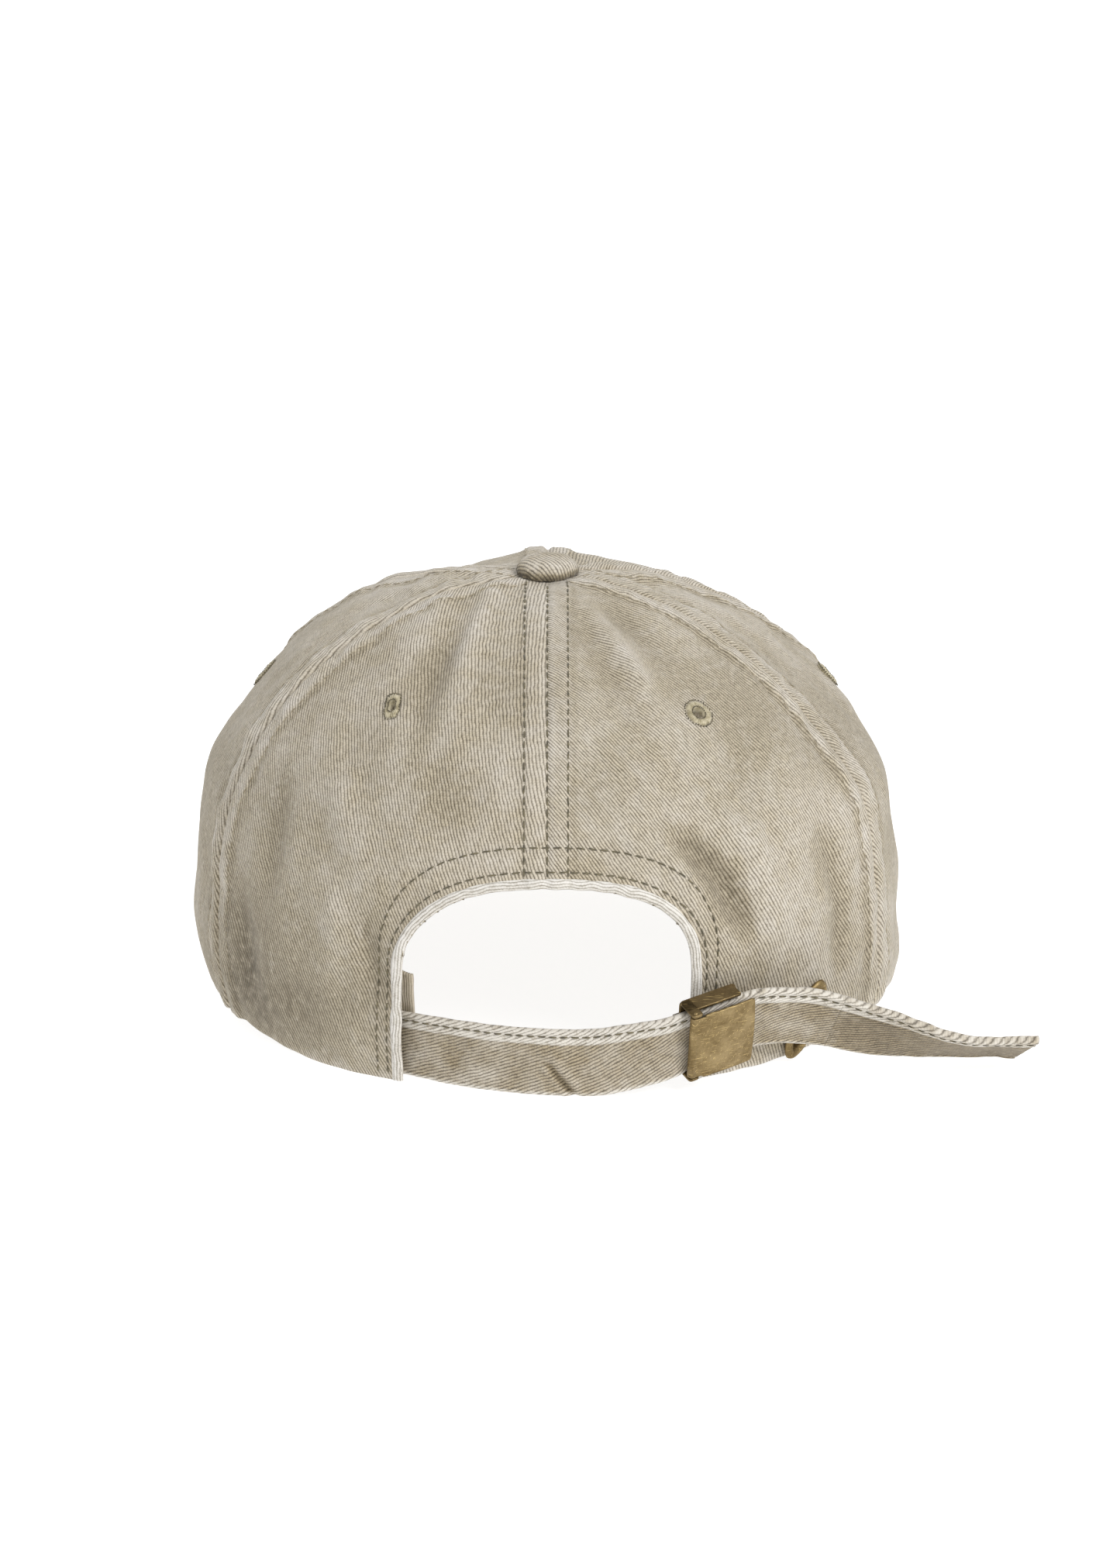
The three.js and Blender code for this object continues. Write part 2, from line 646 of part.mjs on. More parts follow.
function makeEyelets() {
  for (const [name, angle, q] of EYELETS) {
    const ring = lathe(EYELET_SECTION, 18).applyMatrix4(onCrown(angle * DEG, q));
    add(name, ring, cloth(THREAD, 0.8));
  }
}

makePanels();
makeTapes();
makeArchFacing();
makeSweatband();
makeVisor();
makeStrap();
makeClasp();
makeGrommet();
makeButton();
makeEyelets();

export default group;
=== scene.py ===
"""Washed khaki six-panel cap seen from the back: twill panels, rear arch, strap, flip clasp and grommet."""

import math

import bpy
import numpy as np
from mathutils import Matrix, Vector


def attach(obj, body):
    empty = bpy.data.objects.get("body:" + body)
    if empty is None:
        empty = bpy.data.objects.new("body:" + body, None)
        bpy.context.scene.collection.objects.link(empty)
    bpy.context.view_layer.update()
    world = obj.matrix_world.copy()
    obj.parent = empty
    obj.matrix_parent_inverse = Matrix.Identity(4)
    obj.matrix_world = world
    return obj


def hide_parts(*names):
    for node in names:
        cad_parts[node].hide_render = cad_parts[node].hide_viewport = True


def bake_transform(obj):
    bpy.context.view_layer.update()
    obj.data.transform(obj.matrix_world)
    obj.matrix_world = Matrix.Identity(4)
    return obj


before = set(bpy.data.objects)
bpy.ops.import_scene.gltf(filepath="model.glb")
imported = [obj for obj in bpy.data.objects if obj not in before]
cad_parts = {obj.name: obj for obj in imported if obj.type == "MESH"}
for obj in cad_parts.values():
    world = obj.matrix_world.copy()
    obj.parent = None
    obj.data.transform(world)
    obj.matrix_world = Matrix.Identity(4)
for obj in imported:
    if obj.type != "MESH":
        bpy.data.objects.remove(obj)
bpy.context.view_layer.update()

MM = 0.001
DEG = math.pi / 180
RNG = np.random.default_rng(7)

# ---------------- crown form, in millimetres
CROWN_X = 95.0
CROWN_Y = 88.0
RIM_SHARE = 0.965
WIDEST_Z = 30.0
CROWN_H = 115.0
DOME_POWER = 2.15
WALL_Q = 0.25
RIM_TILT = 7.0
RIM_ARCH = 8.0
RIM_ARCH_FROM = 0.35
CLOTH_T = 1.0
SEAM_BACK = (66.0, 70.0)
SEAM_FRONT = (122.0, 112.0)
SEAMS = ((0, 0), SEAM_BACK, SEAM_FRONT, (180, 180), (-122.0, -112.0), (-66.0, -70.0))
ARCH_HALF = 39.0
ARCH_TOP = 57.0
ARCH_SPRING = 32.0
ARCH_POWER_LEFT = (2.4, 2.0)
ARCH_POWER_RIGHT = (2.4, 2.4)
PANEL_WIDTH = 98.0
STITCH_OFF = 6.0  # topstitch rows lie this far from each seam
TWILL_ANGLE = 27.0
TWILL_DEPTH = 0.0002  # metres


def rim_height(phi):
    front = -np.cos(phi)
    arch = np.maximum(0, (front - RIM_ARCH_FROM) / (1 - RIM_ARCH_FROM))
    return RIM_TILT * (1 + front) + RIM_ARCH * arch**1.2


def share(q):
    w = np.clip(q / WALL_Q, 0, 1)
    t = np.clip((q - WALL_Q) / (1 - WALL_Q), 0, 1) * math.pi / 2
    dome = np.maximum(np.cos(t), 0) ** (2 / DOME_POWER)
    return np.where(q < WALL_Q, 1 - (1 - RIM_SHARE) * (1 - w) ** 2, dome)


def height(phi, q):
    rim = rim_height(phi)
    w = np.clip(q / WALL_Q, 0, 1)
    t = np.clip((q - WALL_Q) / (1 - WALL_Q), 0, 1) * math.pi / 2
    dome = WIDEST_Z + (CROWN_H - WIDEST_Z) * np.sin(t) ** (2 / DOME_POWER)
    return np.where(q < WALL_Q, rim + (WIDEST_Z - rim) * w, dome)


def crown(phi, q):
    r = share(q)
    return np.stack([CROWN_X * r * np.sin(phi), -CROWN_Y * r * np.cos(phi), height(phi, q)], -1)


def crown_normal(phi, q):
    e = 1e-3
    q = np.minimum(q, 1 - 3 * e)
    along = crown(phi + e, q) - crown(phi - e, q)
    up = crown(phi, q + e) - crown(phi, np.maximum(q - e, 0))
    n = np.cross(along, up)
    return n / np.linalg.norm(n, axis=-1, keepdims=True)


def ring_radius(phi, q):
    """Millimetres of arc per radian round the crown."""
    return share(q) * np.hypot(CROWN_X * np.cos(phi), CROWN_Y * np.sin(phi))


def seam_angle(seam, q):
    return (seam[0] + (seam[1] - seam[0]) * q) * DEG


def wrap(angle):
    return (angle + math.pi) % (2 * math.pi) - math.pi


def seam_distance(phi, q):
    """Distance to the nearest seam."""
    r = np.maximum(ring_radius(phi, q), 0.5)
    return np.min([np.abs(wrap(phi - seam_angle(s, q))) * r for s in SEAMS], axis=0)


def bell(x, width):
    return np.exp(-((x / width) ** 2))


def ease(x, low, high):
    t = np.clip((x - low) / (high - low), 0, 1)
    return t * t * (3 - 2 * t)


HILL_WAVES = 15


def hills(points, size, seed):
    """Smooth bumps between about -1 and 1, a few wavelengths mixed."""
    rng = np.random.default_rng(seed)
    total = np.zeros(points.shape[:-1])
    for _ in range(HILL_WAVES):
        wave = size * (0.6 + 0.8 * rng.random())
        way = rng.normal(size=3)
        way /= np.linalg.norm(way)
        total += np.sin(points @ way * (2 * math.pi / wave) + rng.random() * 6.28)
    return total / math.sqrt(HILL_WAVES / 2) / 1.6


# ---------------- relief of the worn cloth
BIG_BUMPS, MIDDLE_BUMPS, SMALL_BUMPS = 0.9, 0.40, 0.16
TOP_SINK = 1.7  # the panels sink between their seams near the top
# Seam allowance, groove and pucker: size at the centre back, and what the other seams have more
AT_SEAMS = ((0.30, 0.45), (0.45, 0.6), (0.16, 0.22))
STITCH_GROOVE = 0.30
# Soft folds: points (angle, share of profile), width and height
FOLDS = (
    (((-60, 0.94), (-43, 0.90), (-28, 0.78), (-23, 0.64)), 3.4, 2.2),
    (((-52, 0.90), (-33, 0.76), (-30, 0.66), (-26, 0.56)), 4.5, -1.9),
    (((-70, 0.90), (-52, 0.80), (-44, 0.70)), 4.0, 1.0),
    (((26, 0.93), (24, 0.83), (25, 0.72), (27, 0.62)), 3.4, 1.6),
    (((15, 0.88), (17, 0.76), (19, 0.66)), 5.0, -1.2),
    (((38, 0.90), (36, 0.80), (38, 0.70)), 5.0, -1.2),
    (((20, 0.47), (25.5, 0.425), (30, 0.375), (33, 0.31), (34, 0.26)), 3.8, -3.7),
    (((28, 0.50), (36, 0.43), (40, 0.34), (40, 0.25)), 5.0, 2.2),
    (((19, 0.45), (24, 0.37), (26, 0.29)), 3.0, 1.4),
    (((-32, 0.34), (-28.5, 0.27), (-27.5, 0.16)), 3.2, -1.4),
    (((-38, 0.40), (-36, 0.28), (-37, 0.12)), 5.0, 1.4),
    (((-93, 0.95), (-100, 0.90), (-93, 0.83), (-102, 0.75)), 4.0, 1.3),
    (((80, 0.88), (90, 0.81), (94, 0.75), (91, 0.68)), 4.0, 1.1),
    (((45, 0.46), (46, 0.35), (47, 0.20)), 4.5, 1.2),
    (((53, 0.44), (55, 0.30), (53, 0.12)), 4.0, -1.7),
    (((-57, 0.54), (-52, 0.42), (-50, 0.28)), 4.5, -1.7),
    (((-45, 0.54), (-37, 0.45), (-32, 0.37)), 4.5, 1.4),
    (((-62, 0.34), (-56, 0.22), (-58, 0.10)), 4.5, -1.4),
    (((150, 0.80), (140, 0.62), (138, 0.45)), 5.0, 1.4),
    (((-146, 0.84), (-138, 0.66), (-142, 0.46)), 5.0, -1.3),
    (((166, 0.60), (160, 0.45), (163, 0.33)), 4.0, -1.0),
)
# Broad swells: angle and height of the middle, spread of each, rise
SWELLS = (
    (-100, 101, 34, 15, 2.6),
    (-92, 62, 30, 9, 2.0),
    (-92, 34, 30, 8, -1.2),
    (84, 94, 34, 14, -2.8),
    (90, 62, 30, 9, 1.2),
    (84, 9, 34, 12, 3.0),
    (-75, 10, 30, 9, 1.0),
)
SWELLS_END = (103.0, 110.0)  # the swells die out between these heights
# Patches of painted shade that darken the cloth colour: angle and height, spread of each, strength
SHADE_PATCHES = (
    (-56, 14, 18, 26, 0.62),
    (-30, 30, 9, 16, 0.18),
    (28.5, 43, 4, 8, 0.10),
    (84, 60, 14, 40, 0.18),
    (-88, 52, 14, 30, 0.22),
    (52, 92, 16, 12, 0.20),
    (60, 8, 14, 12, 0.16),
)
# Places where the rim hangs lower: angle, spread, drop
RIM_DROPS = ((-38, 22, 1.9), (40, 16, 0.8))


def line_near(points, path):
    """Distance to a polyline and the share of its length at the nearest place."""
    best, share_at = np.full(points.shape[:-1], 1e9), np.zeros(points.shape[:-1])
    steps = len(path) - 1
    for k in range(steps):
        ab = path[k + 1] - path[k]
        t = np.clip(((points - path[k]) @ ab) / (ab @ ab), 0, 1)
        gap = np.linalg.norm(points - path[k] - t[..., None] * ab, axis=-1)
        share_at = np.where(gap < best, (k + t) / steps, share_at)
        best = np.minimum(best, gap)
    return best, share_at


def fold_path(spots):
    spots = np.array(spots, float)
    return crown(spots[:, 0] * DEG, spots[:, 1])


def fold_rise(at):
    """Outward shift from the named folds alone."""
    total = np.zeros(at.shape[:-1])
    for spots, width, rise in FOLDS:
        gap, place = line_near(at, fold_path(spots))
        taper = 0.15 + 0.85 * ease(place, 0, 0.35) * (1 - ease(place, 0.65, 1))
        total += rise * taper * bell(gap, width)
    return total


def relief(phi, q):
    """Outward shift of the cloth surface in millimetres."""
    at = crown(phi, q)
    d = seam_distance(phi, q)
    top = ease(q, 0.4, 0.75)
    side_seam = 1 - bell(wrap(phi), 0.5)
    shift = BIG_BUMPS * hills(at, 62, 3) * ease(q, 0.0, 0.12)
    shift += MIDDLE_BUMPS * hills(at, 24, 5) * ease(q, 0.02, 0.15)
    shift += SMALL_BUMPS * hills(at, 10, 6)
    shift -= TOP_SINK * top * (1 - bell(d, 20))
    allowance, groove, pucker = [centre + side * side_seam for centre, side in AT_SEAMS]
    shift += allowance * (1 - ease(d, STITCH_OFF - 0.5, STITCH_OFF + 1.6))
    shift -= groove * bell(d, 0.9)
    shift -= STITCH_GROOVE * bell(d - STITCH_OFF, 0.7)
    shift += pucker * hills(at, 8.0, 11) * bell(d - STITCH_OFF + 1.0, 4.0)
    shift += fold_rise(at)
    fade = 1 - ease(at[..., 2], *SWELLS_END)
    for angle, level, wide, tall, rise in SWELLS:
        shift += fade * rise * bell(wrap(phi - angle * DEG), wide * DEG) * bell(at[..., 2] - level, tall)
    return shift * ease(-q, -0.995, -0.93)


def cloth_wear_and_shade(phi, q, arc):
    """Fading of the cloth, with painted shade in the fold grooves and the shade patches below zero."""
    at = crown(phi, q)
    d = seam_distance(phi, q)
    side_seam = 1 - bell(wrap(phi), 0.5)
    uneven = 0.75 + 0.45 * hills(at, 11, 17)
    wear_and_shade = 0.14 * bell(d - 1.2, 0.8) + (0.05 + 0.26 * side_seam) * bell(d - 4.2, 1.5) * uneven
    wear_and_shade -= (0.10 + 0.10 * side_seam) * bell(d - STITCH_OFF - 1.0, 1.2)
    wear_and_shade += 0.3 * bell(arc, 2.0)
    fold = fold_rise(at) + 0.5 * hills(at, 24, 5)
    # Fold ridges are paler with wear; fold grooves are darkened with painted shade
    wear_and_shade += 0.13 * np.clip(fold, 0, 2.2) - 0.17 * np.clip(-fold, 0, 2.4)
    # Patches of painted shade
    for angle, level, wide, tall, strength in SHADE_PATCHES:
        wear_and_shade -= strength * bell(wrap(phi - angle * DEG), wide * DEG) * bell(at[..., 2] - level, tall)
    return wear_and_shade


def rim_drop(phi, q):
    drop = sum(fall * bell(wrap(phi - angle * DEG), wide * DEG) for angle, wide, fall in RIM_DROPS)
    return drop * (1 - ease(q, 0.0, 0.2))


def skin(phi, q, depth=0.0):
    phi, q = np.broadcast_arrays(np.asarray(phi, float), np.asarray(q, float))
    lift = relief(phi, q) - depth
    points = crown(phi, q) + crown_normal(phi, q) * lift[..., None]
    points[..., 2] -= rim_drop(phi, q)
    return points


def q_at_height(phi, z):
    low, high = np.zeros_like(z), np.ones_like(z)
    for _ in range(26):
        mid = (low + high) / 2
        under = height(phi, mid) < z
        low, high = np.where(under, mid, low), np.where(under, high, mid)
    return (low + high) / 2


def back_at(x, z):
    """Angle and profile share of the back wall at this x and z."""
    x, z = np.broadcast_arrays(np.asarray(x, float), np.asarray(z, float))
    phi = np.arcsin(np.clip(x / CROWN_X, -1, 1))
    for _ in range(10):
        q = q_at_height(phi, z)
        phi = np.arcsin(np.clip(x / (CROWN_X * share(q)), -1, 1))
    return phi, q


def run_length(points):
    """Length along a polyline at each of its points."""
    return np.concatenate([[0], np.cumsum(np.linalg.norm(np.diff(points, axis=0), axis=1))])


def turns(count):
    return np.linspace(0, 2 * math.pi, count + 1)[:-1]


def arc_table():
    q = np.linspace(0, 1, 2001)
    p = np.stack([CROWN_X * share(q), height(math.pi / 2 + 0 * q, q)], -1)
    return q, run_length(p)


ARC_Q, ARC_S = arc_table()
ARC_TOTAL = ARC_S[-1]


# ---------------- mesh helpers
def facing_out(verts, faces):
    """The same faces, all turned round where their quads enclose a negative volume."""
    quads = np.array([f for f in faces if len(f) == 4])
    a, b, c, d = np.moveaxis(verts[quads] - verts.mean(0), 1, 0)
    volume = (a * np.cross(b, c)).sum() + (a * np.cross(c, d)).sum()
    return faces if volume > 0 else [tuple(f)[::-1] for f in faces]


def new_object(name, verts, faces, body="crown", uv=None, wear_and_shade=None):
    """A mesh from millimetre points; uv and the values of wear and painted shade are given per point."""
    faces = facing_out(np.asarray(verts, float), faces)
    mesh = bpy.data.meshes.new(name)
    mesh.from_pydata([tuple(v) for v in np.asarray(verts, float) * MM], [], [tuple(f) for f in faces])
    mesh.validate()
    if uv is not None:
        layer = mesh.uv_layers.new(name="weave")
        index = np.empty(len(mesh.loops), int)
        mesh.loops.foreach_get("vertex_index", index)
        layer.data.foreach_set("uv", (np.asarray(uv)[index] * MM).astype(np.float32).ravel())
    if wear_and_shade is not None:
        attribute = mesh.attributes.new("wear_and_shade", "FLOAT", "POINT")
        attribute.data.foreach_set("value", np.asarray(wear_and_shade, np.float32))
    mesh.polygons.foreach_set("use_smooth", [True] * len(mesh.polygons))
    mesh.update()
    obj = bpy.data.objects.new(name, mesh)
    bpy.context.collection.objects.link(obj)
    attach(obj, body)
    return obj


def dress(piece, material, slot, *nodes):
    """Material of a piece, and the solids that it stands for; slot is not used."""
    piece.data.materials.append(material)
    if nodes:
        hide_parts(*nodes)
    return piece


def shell_faces(keep):
    """Quads of a two-sided sheet on a grid: outside, inside, and a wall along every open edge."""
    rows, cols = keep.shape
    n = (rows + 1) * (cols + 1)
    idx = np.arange(n).reshape(rows + 1, cols + 1)
    a, b, c, d = idx[:-1, :-1], idx[:-1, 1:], idx[1:, 1:], idx[1:, :-1]
    out = np.stack([a, b, c, d], -1)[keep]
    faces = [out, out[:, ::-1] + n]
    pad = np.pad(keep, 1)
    core = pad[1:-1, 1:-1]

    def wall(mask, p, q):
        faces.append(np.stack([q, p, p + n, q + n], -1)[mask])

    wall(core & ~pad[:-2, 1:-1], a, b)
    wall(core & ~pad[1:-1, 2:], b, c)
    wall(core & ~pad[2:, 1:-1], c, d)
    wall(core & ~pad[1:-1, :-2], d, a)
    return np.concatenate(faces)


def sheet(outer, inner):
    """Points and faces of a whole sheet between two grids."""
    verts = np.concatenate([outer.reshape(-1, 3), inner.reshape(-1, 3)])
    return verts, shell_faces(np.ones((outer.shape[0] - 1, outer.shape[1] - 1), bool))


def tidy_points(verts, faces, *extra):
    used = np.unique(faces)
    lookup = np.zeros(len(verts), int)
    lookup[used] = np.arange(len(used))
    return [verts[used], lookup[faces], *[e[used] for e in extra]]


# ---------------- materials
def nodes_of(name, roughness, sheen=0.0, metallic=0.0):
    mat = bpy.data.materials.new(name)
    mat.use_nodes = True
    shader = mat.node_tree.nodes["Principled BSDF"]
    shader.inputs["Roughness"].default_value = roughness
    shader.inputs["Metallic"].default_value = metallic
    shader.inputs["Sheen Weight"].default_value = sheen
    shader.inputs["Sheen Roughness"].default_value = 0.6
    return mat, Graph(mat.node_tree), shader


class Graph:
    """Short calls for adding and wiring shader nodes."""

    def __init__(self, tree):
        self.tree = tree

    def node(self, kind, **settings):
        n = self.tree.nodes.new(kind)
        for key, value in settings.items():
            setattr(n, key, value)
        return n

    def link(self, a, b):
        self.tree.links.new(a, b)

    def feed(self, socket, value):
        if isinstance(value, (int, float, tuple)):
            socket.default_value = value
        else:
            self.link(value, socket)

    def math(self, op, a, b=0.0, clamp=False):
        n = self.node("ShaderNodeMath", operation=op, use_clamp=clamp)
        self.feed(n.inputs[0], a)
        self.feed(n.inputs[1], b)
        return n.outputs[0]

    def noise(self, vector, scale, detail=2.0, rough=0.5):
        n = self.node("ShaderNodeTexNoise")
        self.link(vector, n.inputs["Vector"])
        n.inputs["Scale"].default_value = scale
        n.inputs["Detail"].default_value = detail
        n.inputs["Roughness"].default_value = rough
        return n.outputs["Fac"]

    def mapped(self, vector, rotation=0.0, scale=(1, 1, 1)):
        n = self.node("ShaderNodeMapping")
        self.link(vector, n.inputs["Vector"])
        n.inputs["Rotation"].default_value = (0, 0, rotation)
        n.inputs["Scale"].default_value = scale
        return n.outputs[0]

    def mix(self, factor, a, b):
        n = self.node("ShaderNodeMix", data_type="RGBA")
        self.feed(n.inputs[0], factor)
        self.feed(n.inputs[6], a)
        self.feed(n.inputs[7], b)
        return n.outputs[2]

    def spread(self, value, low, high, to_low=0.0, to_high=1.0):
        n = self.node("ShaderNodeMapRange")
        names = ("Value", "From Min", "From Max", "To Min", "To Max")
        for name, given in zip(names, (value, low, high, to_low, to_high)):
            self.feed(n.inputs[name], given)
        return n.outputs[0]

    def total(self, *terms):
        """Sum of (value, weight) pairs."""
        parts = [self.math("MULTIPLY", value, weight) for value, weight in terms]
        while len(parts) > 1:
            parts[:2] = [self.math("ADD", *parts[:2])]
        return parts[0]

    def ridges(self, value):
        return self.math("ABSOLUTE", self.math("SINE", self.math("MULTIPLY", value, math.pi)))

    def bump(self, shader, height, strength, distance):
        n = self.node("ShaderNodeBump")
        n.inputs["Strength"].default_value = strength
        n.inputs["Distance"].default_value = distance
        self.link(height, n.inputs["Height"])
        self.link(n.outputs[0], shader.inputs["Normal"])

    def own_space(self):
        return self.node("ShaderNodeTexCoord").outputs["Object"]


def rgb(r, g, b):
    """Linear colour from 0-255 display values."""
    return (*(((v / 255 + 0.055) / 1.055) ** 2.4 for v in (r, g, b)), 1.0)


def make_twill(name, base, pale, dark, pitch=0.85, angle=TWILL_ANGLE):
    """Slanting ribs of short yarns, paler with wear where the per-point attribute is above zero and darker
    with painted shade below it.
    """
    mat, g, shader = nodes_of(name, 0.92, sheen=0.2)
    uv = g.node("ShaderNodeUVMap", uv_map="weave").outputs[0]
    turned = g.mapped(uv, rotation=-angle * DEG)
    split = g.node("ShaderNodeSeparateXYZ")
    g.link(turned, split.inputs[0])
    wobble = g.noise(uv, 260.0, 2.0)
    across = g.total((split.outputs[0], 1000 / pitch), (wobble, 0.9))
    rib = g.ridges(across)
    bead = g.ridges(g.total((split.outputs[1], 1000 / (pitch * 0.9)), (g.math("FLOOR", across), 0.5)))
    yarn = g.noise(g.mapped(turned, scale=(1, 0.3, 1)), 1500.0, 2.0, 0.6)
    grain = g.noise(uv, 1050.0, 2.0, 0.7)
    fuzz = g.noise(uv, 5200.0, 2.0, 0.6)
    level = g.total((rib, 0.7), (bead, 0.2), (yarn, 0.4), (fuzz, 0.25))
    tone = g.spread(g.total((rib, 0.62), (bead, 0.14), (yarn, 0.65), (grain, 0.62)), 0.72, 1.42)
    colour = g.mix(tone, dark, base)
    blotch = g.noise(uv, 40.0, 4.0, 0.65)
    cloud = g.noise(uv, 170.0, 3.0, 0.6)
    wash = g.math("ADD", g.spread(blotch, 0.4, 0.75, 0, 0.34), g.spread(cloud, 0.4, 0.75, 0, 0.30))
    wear_and_shade = g.node("ShaderNodeAttribute", attribute_name="wear_and_shade").outputs["Fac"]
    patchy = g.math("MULTIPLY", wear_and_shade, g.spread(g.noise(uv, 420.0, 3.0, 0.65), 0.3, 0.6, 0.35, 1.25))
    fade = g.math("MULTIPLY", g.math("ADD", wash, patchy), g.spread(tone, 0.1, 0.9, 0.35, 1.25), clamp=True)
    colour = g.mix(fade, colour, pale)
    # Below zero the colour is darkened towards dark: painted shade
    painted_shade = g.math("MULTIPLY", patchy, -1.0, clamp=True)
    g.link(g.mix(painted_shade, colour, dark), shader.inputs["Base Color"])
    g.bump(shader, level, 0.9, TWILL_DEPTH)
    return mat


KHAKI = make_twill("washed khaki twill", rgb(202, 190, 166), rgb(217, 211, 203), rgb(96, 85, 64))


# ---------------- crown panels
def column_steps(width):
    """Positions across a panel in millimetres, close together beside both seams."""
    near = np.array([0, 0.2, 0.45, 0.8, 1.3, 2, 2.8, 3.6, 4.4, 5.1, 5.6, 6, 6.4, 6.9, 7.6])
    middle = np.linspace(8.6, width - 8.6, int((width - 17.2) / 1.0) + 1)
    return np.concatenate([near, middle, (width - near)[::-1]]) / width


def row_steps():
    near = np.array([0, 0.12, 0.3, 0.55, 0.9, 1.4, 2.0])
    far = np.linspace(2.9, ARC_TOTAL - 3.5, 165)
    return np.interp(np.concatenate([near, far]), ARC_S, ARC_Q)


def arch_power(x):
    left = (np.asarray(x) < 0)[..., None]
    return np.moveaxis(np.where(left, ARCH_POWER_LEFT, ARCH_POWER_RIGHT), -1, 0)


def in_arch(x, z):
    wide, tall = arch_power(x)
    top = np.maximum(z - ARCH_SPRING, 0) / (ARCH_TOP - ARCH_SPRING)
    return (np.abs(x) / ARCH_HALF) ** wide + top**tall < 1


def in_hole(points):
    """True inside the eyelet holes and the grommet's slot."""
    inside = np.zeros(points.shape[:-1], bool)
    holes = [(local_frame(np.array(a * DEG), np.array(q)), EYELET_HOLE, EYELET_HOLE) for _, a, q in EYELETS]
    holes.append((local_frame(*back_at(*GROMMET), GROMMET_TILT * DEG), *GROMMET_HOLE))
    for (origin, right, up, out), a, b in holes:
        d = points - origin
        inside |= (((d @ right) / a) ** 2 + ((d @ up) / b) ** 2 < 1) & (np.abs(d @ out) < 8)
    return inside


def make_panel(place, left, right):
    q = row_steps()[:, None]
    t = column_steps(PANEL_WIDTH)[None, :]
    first, last = seam_angle(left, q), seam_angle(right, q)
    phi = first + (last - first) * t
    q = np.broadcast_to(q, phi.shape)
    arc = np.interp(q, ARC_Q, ARC_S)
    edge = np.clip(1 - arc / (CLOTH_T * 0.7), 0, 1)
    bulge = np.sqrt(1 - edge**2)
    outer = skin(phi, q, CLOTH_T * 0.7 * (1 - bulge))
    inner = skin(phi, q, CLOTH_T * (0.7 + 0.3 * bulge) + 0.4 * edge)
    middle = (seam_angle(left, q) + seam_angle(right, q)) / 2
    across = (phi - middle) * ring_radius(phi, q)
    uv = np.stack([across, arc], -1).reshape(-1, 2)
    wear_and_shade = cloth_wear_and_shade(phi, q, arc)
    keep = np.ones((phi.shape[0] - 1, phi.shape[1] - 1), bool)
    if place.startswith("back"):
        base = crown(phi, q)
        inside = in_arch(base[..., 0], base[..., 2]) & (base[..., 1] < 0)
        keep = ~(inside[:-1, :-1] & inside[1:, 1:] & inside[:-1, 1:] & inside[1:, :-1])
    hole = in_hole(outer)
    keep &= ~(hole[:-1, :-1] & hole[1:, 1:])
    verts = np.concatenate([outer.reshape(-1, 3), inner.reshape(-1, 3)])
    uv, wear_and_shade = np.tile(uv, (2, 1)), np.tile(wear_and_shade.ravel(), 2)
    verts, faces, uv, wear_and_shade = tidy_points(verts, shell_faces(keep), uv, wear_and_shade)
    panel = new_object("cloth_panel_" + place, verts, faces, uv=uv, wear_and_shade=wear_and_shade)
    dress(panel, KHAKI, "khaki_twill", "panel_" + place)


def make_crown():
    back, front = SEAM_BACK, SEAM_FRONT
    back_l, front_l = (-back[0], -back[1]), (-front[0], -front[1])
    make_panel("back_right", (0, 0), back)
    make_panel("side_right", back, front)
    make_panel("front_right", front, (180, 180))
    make_panel("back_left", back_l, (0, 0))
    make_panel("side_left", front_l, back_l)
    make_panel("front_left", (-180, -180), front_l)


# ---------------- paths and sweeps
def arch_path(grow, step, foot, leg_grow=None):
    """Points (x, z) round the rear arch from the lower left over the top to the lower right."""
    t = np.linspace(math.pi, 0, 500)
    wide, tall = arch_power(np.cos(t))
    x = np.sign(np.cos(t)) * np.abs(np.cos(t)) ** (2 / wide) * ARCH_HALF
    z = ARCH_SPRING + np.sin(t) ** (2 / tall) * (ARCH_TOP - ARCH_SPRING)
    leg = np.linspace(foot, ARCH_SPRING, 30)[:-1]
    left, right = np.full(29, -ARCH_HALF), np.full(29, ARCH_HALF)
    points = np.stack([np.concatenate([left, x, right]), np.concatenate([leg, z, leg[::-1]])], -1)
    points = even(points, 0.25)
    way = directions(points)
    leg_grow = grow if leg_grow is None else leg_grow
    reach = leg_grow + (grow - leg_grow) * ease(points[:, 1], ARCH_SPRING, ARCH_TOP - 2)
    points = points + np.stack([-way[:, 1], way[:, 0]], -1) * reach[:, None]
    return even(points, step)


def even(points, step):
    """The same polyline with points an even distance apart."""
    s = run_length(points)
    count = max(int(round(s[-1] / step)), 2)
    want = np.linspace(0, s[-1], count + 1)
    return np.stack([np.interp(want, s, points[:, k]) for k in range(points.shape[1])], -1)


def unit(v):
    return v / np.maximum(np.linalg.norm(v, axis=-1, keepdims=True), 1e-9)


def directions(points):
    return unit(np.gradient(points, axis=0))


def grid_faces(rows, cols, closed_cols=False, closed_rows=False):
    """Quads on a grid of points; either way round may close on itself."""
    j = np.arange(rows if closed_rows else rows - 1)
    i = np.arange(cols if closed_cols else cols - 1)
    jj, ii = np.meshgrid(j, i, indexing="ij")
    a = jj * cols + ii
    b = jj * cols + (ii + 1) % cols
    c = ((jj + 1) % rows) * cols + (ii + 1) % cols
    d = ((jj + 1) % rows) * cols + ii
    return np.stack([a, b, c, d], -1).reshape(-1, 4)


def capped_tube(rows, cols):
    """Faces of a tube of points, with one face over each end."""
    faces = [tuple(f) for f in grid_faces(rows, cols, closed_cols=True)]
    return faces + [tuple(range(cols))[::-1], tuple((rows - 1) * cols + i for i in range(cols))]


